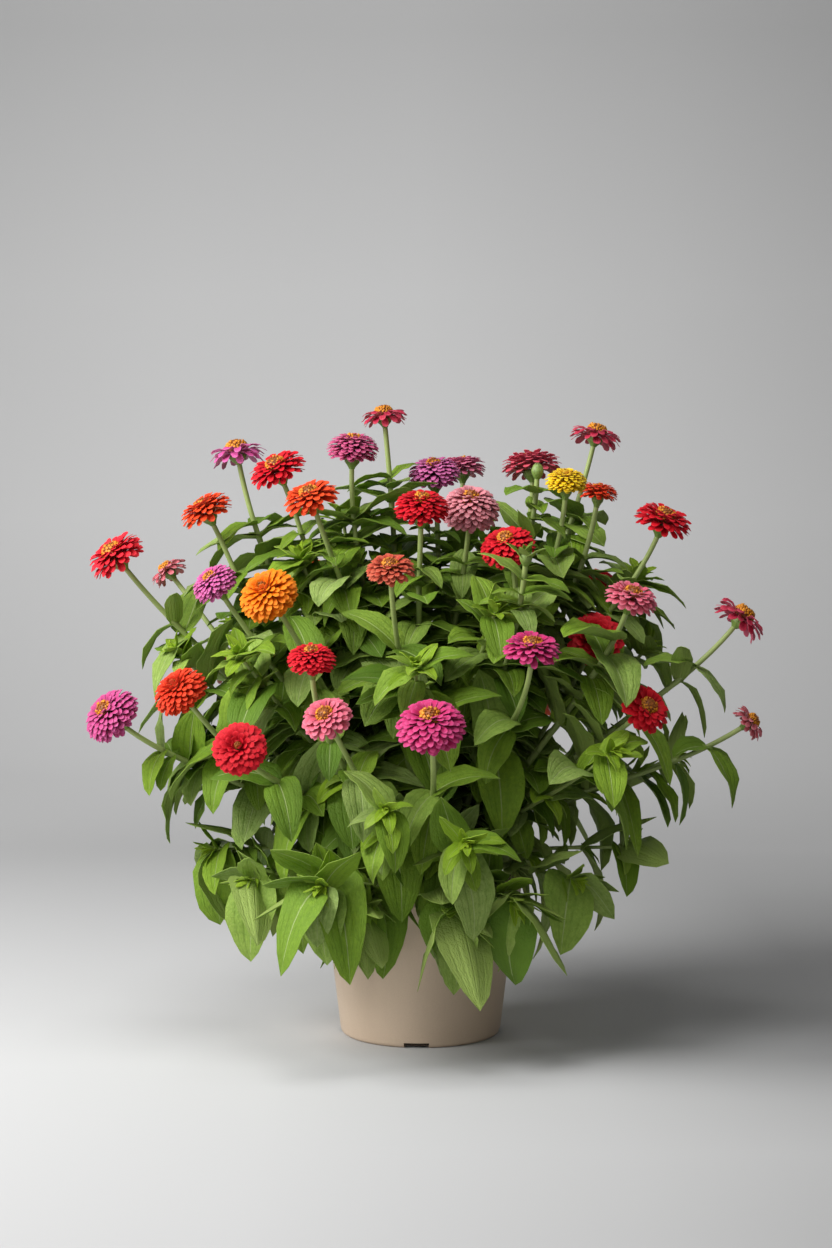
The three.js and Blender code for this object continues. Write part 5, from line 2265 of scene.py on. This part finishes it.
PETAL_FINISHES = {
    Dye.RED: PetalFinish("d00e1e", "8c0616", "f42c3a", "c82836"),
    Dye.SCARLET: PetalFinish("e0301c", "a61e10", "ff5426", "e0603c"),
    Dye.ORANGE: PetalFinish("fc7c08", "d85208", "ff9a20", "f09038"),
    Dye.YELLOW: PetalFinish("fbc80c", "dc9408", "ffe040", "e4c448"),
    Dye.CORAL: PetalFinish("c84834", "8a2618", "dc7a5e", "bc6e5a"),
    Dye.ROSE: PetalFinish("b61c40", "760a26", "de5a6a", "ca5c74"),
    Dye.MAGENTA: PetalFinish("d0286a", "8e1242", "e4629a", "b8508a"),
    Dye.ORCHID: PetalFinish("c6407e", "8c2058", "da6ea4", "b4608c"),
    Dye.PURPLE: PetalFinish("d44c94", "942c66", "e47eb6", "b86c9c"),
    Dye.MAUVE: PetalFinish("ca427e", "8a2456", "e87e9a", "d27ea4"),
    Dye.PINK: PetalFinish("e85e76", "b43850", "f292a4", "d0848e"),
    Dye.DUSTY_PINK: PetalFinish("c8505a", "8c2c38", "ec98a2", "c87a80"),
}


class Finishes:
    """Every material of the object."""

    def __init__(self) -> None:
        """Builds the shared groups and the materials."""
        mottle = mottle_group()
        streaks = petal_streak_group()
        self.leaf = LeafFinish().material(mottle, leaf_vein_group())
        self.stem = StemFinish("stem", "a0b068", "7d9248", "a6b66c").material(mottle)
        self.bract = StemFinish("bract", "86a050", "627c34", "5a5426").material(mottle)
        self.petals = {dye: one.material(dye.value, streaks) for dye, one in PETAL_FINISHES.items()}
        self.floret = FloretFinish().material()
        self.pot = PlasticFinish().material(mottle)
        self.compost = CompostFinish().material(mottle)


@dataclass(frozen=True)
class Lamp:
    """A soft box light: where it stands, where it points, its size in metres, its power and tint."""

    name: str
    at: Triple
    target: Triple
    size: Pair
    power: float
    colour: Triple = (1.0, 1.0, 1.0)


@dataclass
class Studio:
    """The sweep, the lights and the camera."""

    half_width: float = 7.0
    front: float = -6.0
    back: float = 1.15
    curve: float = 0.8
    top: float = 5.0
    # Painted light and shade on the paper: the falloffs paint the floor lightest just before the plant and
    # the wall lightest low down; the floor's values across, between the near and far edges, paint the
    # plant's shadow to its right; the wall's values across paint it lighter in the middle.
    floor_painted_falloff: Path = ((0, 0.46), (0.25, 0.52), (0.45, 0.61), (0.85, 0.47))
    wall_painted_falloff: Path = ((0, 1.02), (0.06, 1.12), (0.3, 1.24), (0.55, 1.19), (0.85, 0.92))
    floor_painted_shadow_across: Path = ((0, 1), (0.4, 1), (0.62, 0.8), (0.8, 0.5), (1, 0.48))
    painted_shadow_near_edge: Path = ((0.28, 0.6), (0.35, 0.48), (0.41, 0.72), (0.46, 1))
    painted_shadow_far_edge: Path = ((0.55, 0.86), (0.63, 1), (0.74, 0.68), (0.88, 0.05))
    wall_painted_light_across: Path = ((0, 0.88), (0.2, 0.98), (0.5, 1.07), (0.8, 1.03), (1, 0.96))
    camera_at: Triple = (-0.0045, -2.6, 0.6)
    camera_tilt: float = 85.75
    focal_pixels: float = 2640
    frame_height: float = 1248
    sensor: float = 36.0
    world_light: float = 0.14
    lamps: tuple[Lamp, ...] = (
        Lamp("key", (-2.05, -1.0, 1.85), (0.0, -0.05, 0.28), (1.7, 1.5), 96.0),
        Lamp("top", (-0.3, -0.9, 2.8), (0.0, 0.0, 0.3), (1.2, 1.2), 30.0),
        Lamp("fill", (-0.5, -2.9, 1.1), (0.0, 0.0, 0.35), (1.0, 1.0), 7.0),
    )

    def build(self) -> None:
        """Builds the whole studio."""
        self.build_sweep()
        for lamp in self.lamps:
            self.add_lamp(lamp)
        self.add_camera()
        world = bpy.data.worlds.new("studio")
        world.use_nodes = True
        background = world.node_tree.nodes["Background"]
        background.inputs["Color"].default_value = (1, 1, 1, 1)
        background.inputs["Strength"].default_value = self.world_light
        scene = bpy.context.scene
        scene.world = world
        scene.view_settings.view_transform = "Standard"

    def build_sweep(self) -> None:
        """The floor, which curves up into the backdrop."""
        section = [(self.front, 0.0), (-2.0, 0.0), (0.0, 0.0), (self.back, 0.0)]
        for i in range(1, 17):
            angle = radians(90 * i / 16)
            section.append((self.back + self.curve * sin(angle), self.curve * (1 - cos(angle))))
        section.append((self.back + self.curve, self.top))
        sweep = bmesh.new()
        points = [sweep.verts.new((-self.half_width, y, z)) for y, z in section]
        edges = [sweep.edges.new(pair) for pair in zip(points, points[1:])]
        grown = bmesh.ops.extrude_edge_only(sweep, edges=edges)
        moved = [one for one in grown["geom"] if isinstance(one, BMVert)]
        bmesh.ops.translate(sweep, verts=moved, vec=(2 * self.half_width, 0, 0))
        as_piece("sweep", sweep, [self.paper()], smooth=True)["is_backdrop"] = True

    def paper(self) -> Material:
        """The sweep's pale paper, with painted light and shade: light falloff over floor and wall, and the
        plant's shadow.

        Returns:
            The material.
        """
        paint = Paint("paper")
        place = paint.parts(paint.place())
        depth = paint.share(place[1], -1.5, 1.5)
        across = paint.share(place[0], -0.7, 0.7)
        # Painted light: falloff over the floor and up the wall.
        floor = paint.ramp(depth, *self.floor_painted_falloff)
        wall = paint.ramp(paint.share(place[2], 0.0, 1.5), *self.wall_painted_falloff)
        # Painted shadow: the floor to the right of the plant is darkened, most over a strip of depth round
        # the pot.
        painted_shadow_depth = paint.ramp(depth, *self.painted_shadow_near_edge, *self.painted_shadow_far_edge)
        painted_floor_shadow = paint.mix(painted_shadow_depth, (1, 1, 1, 1), paint.ramp(across, *self.floor_painted_shadow_across))
        # Over the bend the floor's painted shadow gives way to the wall's painted side light.
        bend = paint.share(place[2], 0.0, 0.06)
        side = paint.mix(bend, painted_floor_shadow, paint.ramp(across, *self.wall_painted_light_across))
        tone = paint.mix(1.0, paint.mix(1.0, floor, wall, "MULTIPLY"), side, "MULTIPLY")
        paint.feed(paint.shader, {"Base Color": tone, "Roughness": 0.85, "Specular IOR Level": 0.15})
        self.open_back(paint)
        return paint.material

    @staticmethod
    def open_back(paint: Paint) -> None:
        """Lets a camera behind the sweep see through its paper.

        Args:
            paint: The paper.
        """
        is_seen = paint.add("LightPath").outputs["Is Camera Ray"]
        is_back = paint.add("NewGeometry").outputs["Backfacing"]
        clear = paint.add("BsdfTransparent").outputs[0]
        feeds = {0: paint.times(is_seen, is_back), 1: paint.shader.outputs[0], 2: clear}
        mixed = paint.add("MixShader", feeds).outputs[0]
        paint.feed(paint.tree.nodes["Material Output"], {"Surface": mixed})

    @staticmethod
    def add_lamp(lamp: Lamp) -> None:
        """Adds one soft box.

        Args:
            lamp: Its place and strength.
        """
        light = bpy.data.lights.new(lamp.name, "AREA")
        light.shape = "RECTANGLE"
        light.size, light.size_y = lamp.size
        light.energy = lamp.power
        light.color = lamp.colour
        holder = bpy.data.objects.new(lamp.name, light)
        holder.location = lamp.at
        holder.rotation_euler = (Vector(lamp.target) - Vector(lamp.at)).to_track_quat("-Z", "Y").to_euler()
        bpy.context.scene.collection.objects.link(holder)

    def add_camera(self) -> None:
        """Adds the camera at the photograph's place and lens."""
        lens = bpy.data.cameras.new("camera")
        lens.sensor_fit = "VERTICAL"
        lens.sensor_height = self.sensor
        lens.lens = self.focal_pixels / self.frame_height * self.sensor
        camera = bpy.data.objects.new("camera", lens)
        camera.location = self.camera_at
        camera.rotation_euler = (radians(self.camera_tilt), 0, 0)
        bpy.context.scene.collection.objects.link(camera)
        bpy.context.scene.camera = camera


def write_sizes() -> None:
    """Works out the boxes of the solids and of the dressed object."""
    boxes = {"cad": CAD_BOX, "visual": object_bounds()}
    plain = {name: [list(corner) for corner in box] for name, box in boxes.items()}


def main() -> None:
    """Builds the pot, the plant and the studio."""
    logging.basicConfig(level=logging.INFO, format="%(message)s")
    finishes = Finishes()
    pot = PotBuilder(finishes)
    pot.build_pot()
    pot.build_compost()
    plant = Plant()
    LOG.info("%d branches, %d leaves", len(plant.branches), sum(len(b.leaves) for b in plant.branches))
    stems = StemBuilder(finishes)
    for number, branches in enumerate(plant.stems, 1):
        stems.build(number, branches)
    heads = HeadBuilder(finishes)
    for number, bloom in enumerate(BLOOMS, 1):
        heads.build(number, bloom)
    Studio().build()
    write_sizes()


if __name__ == "__main__":
    main()
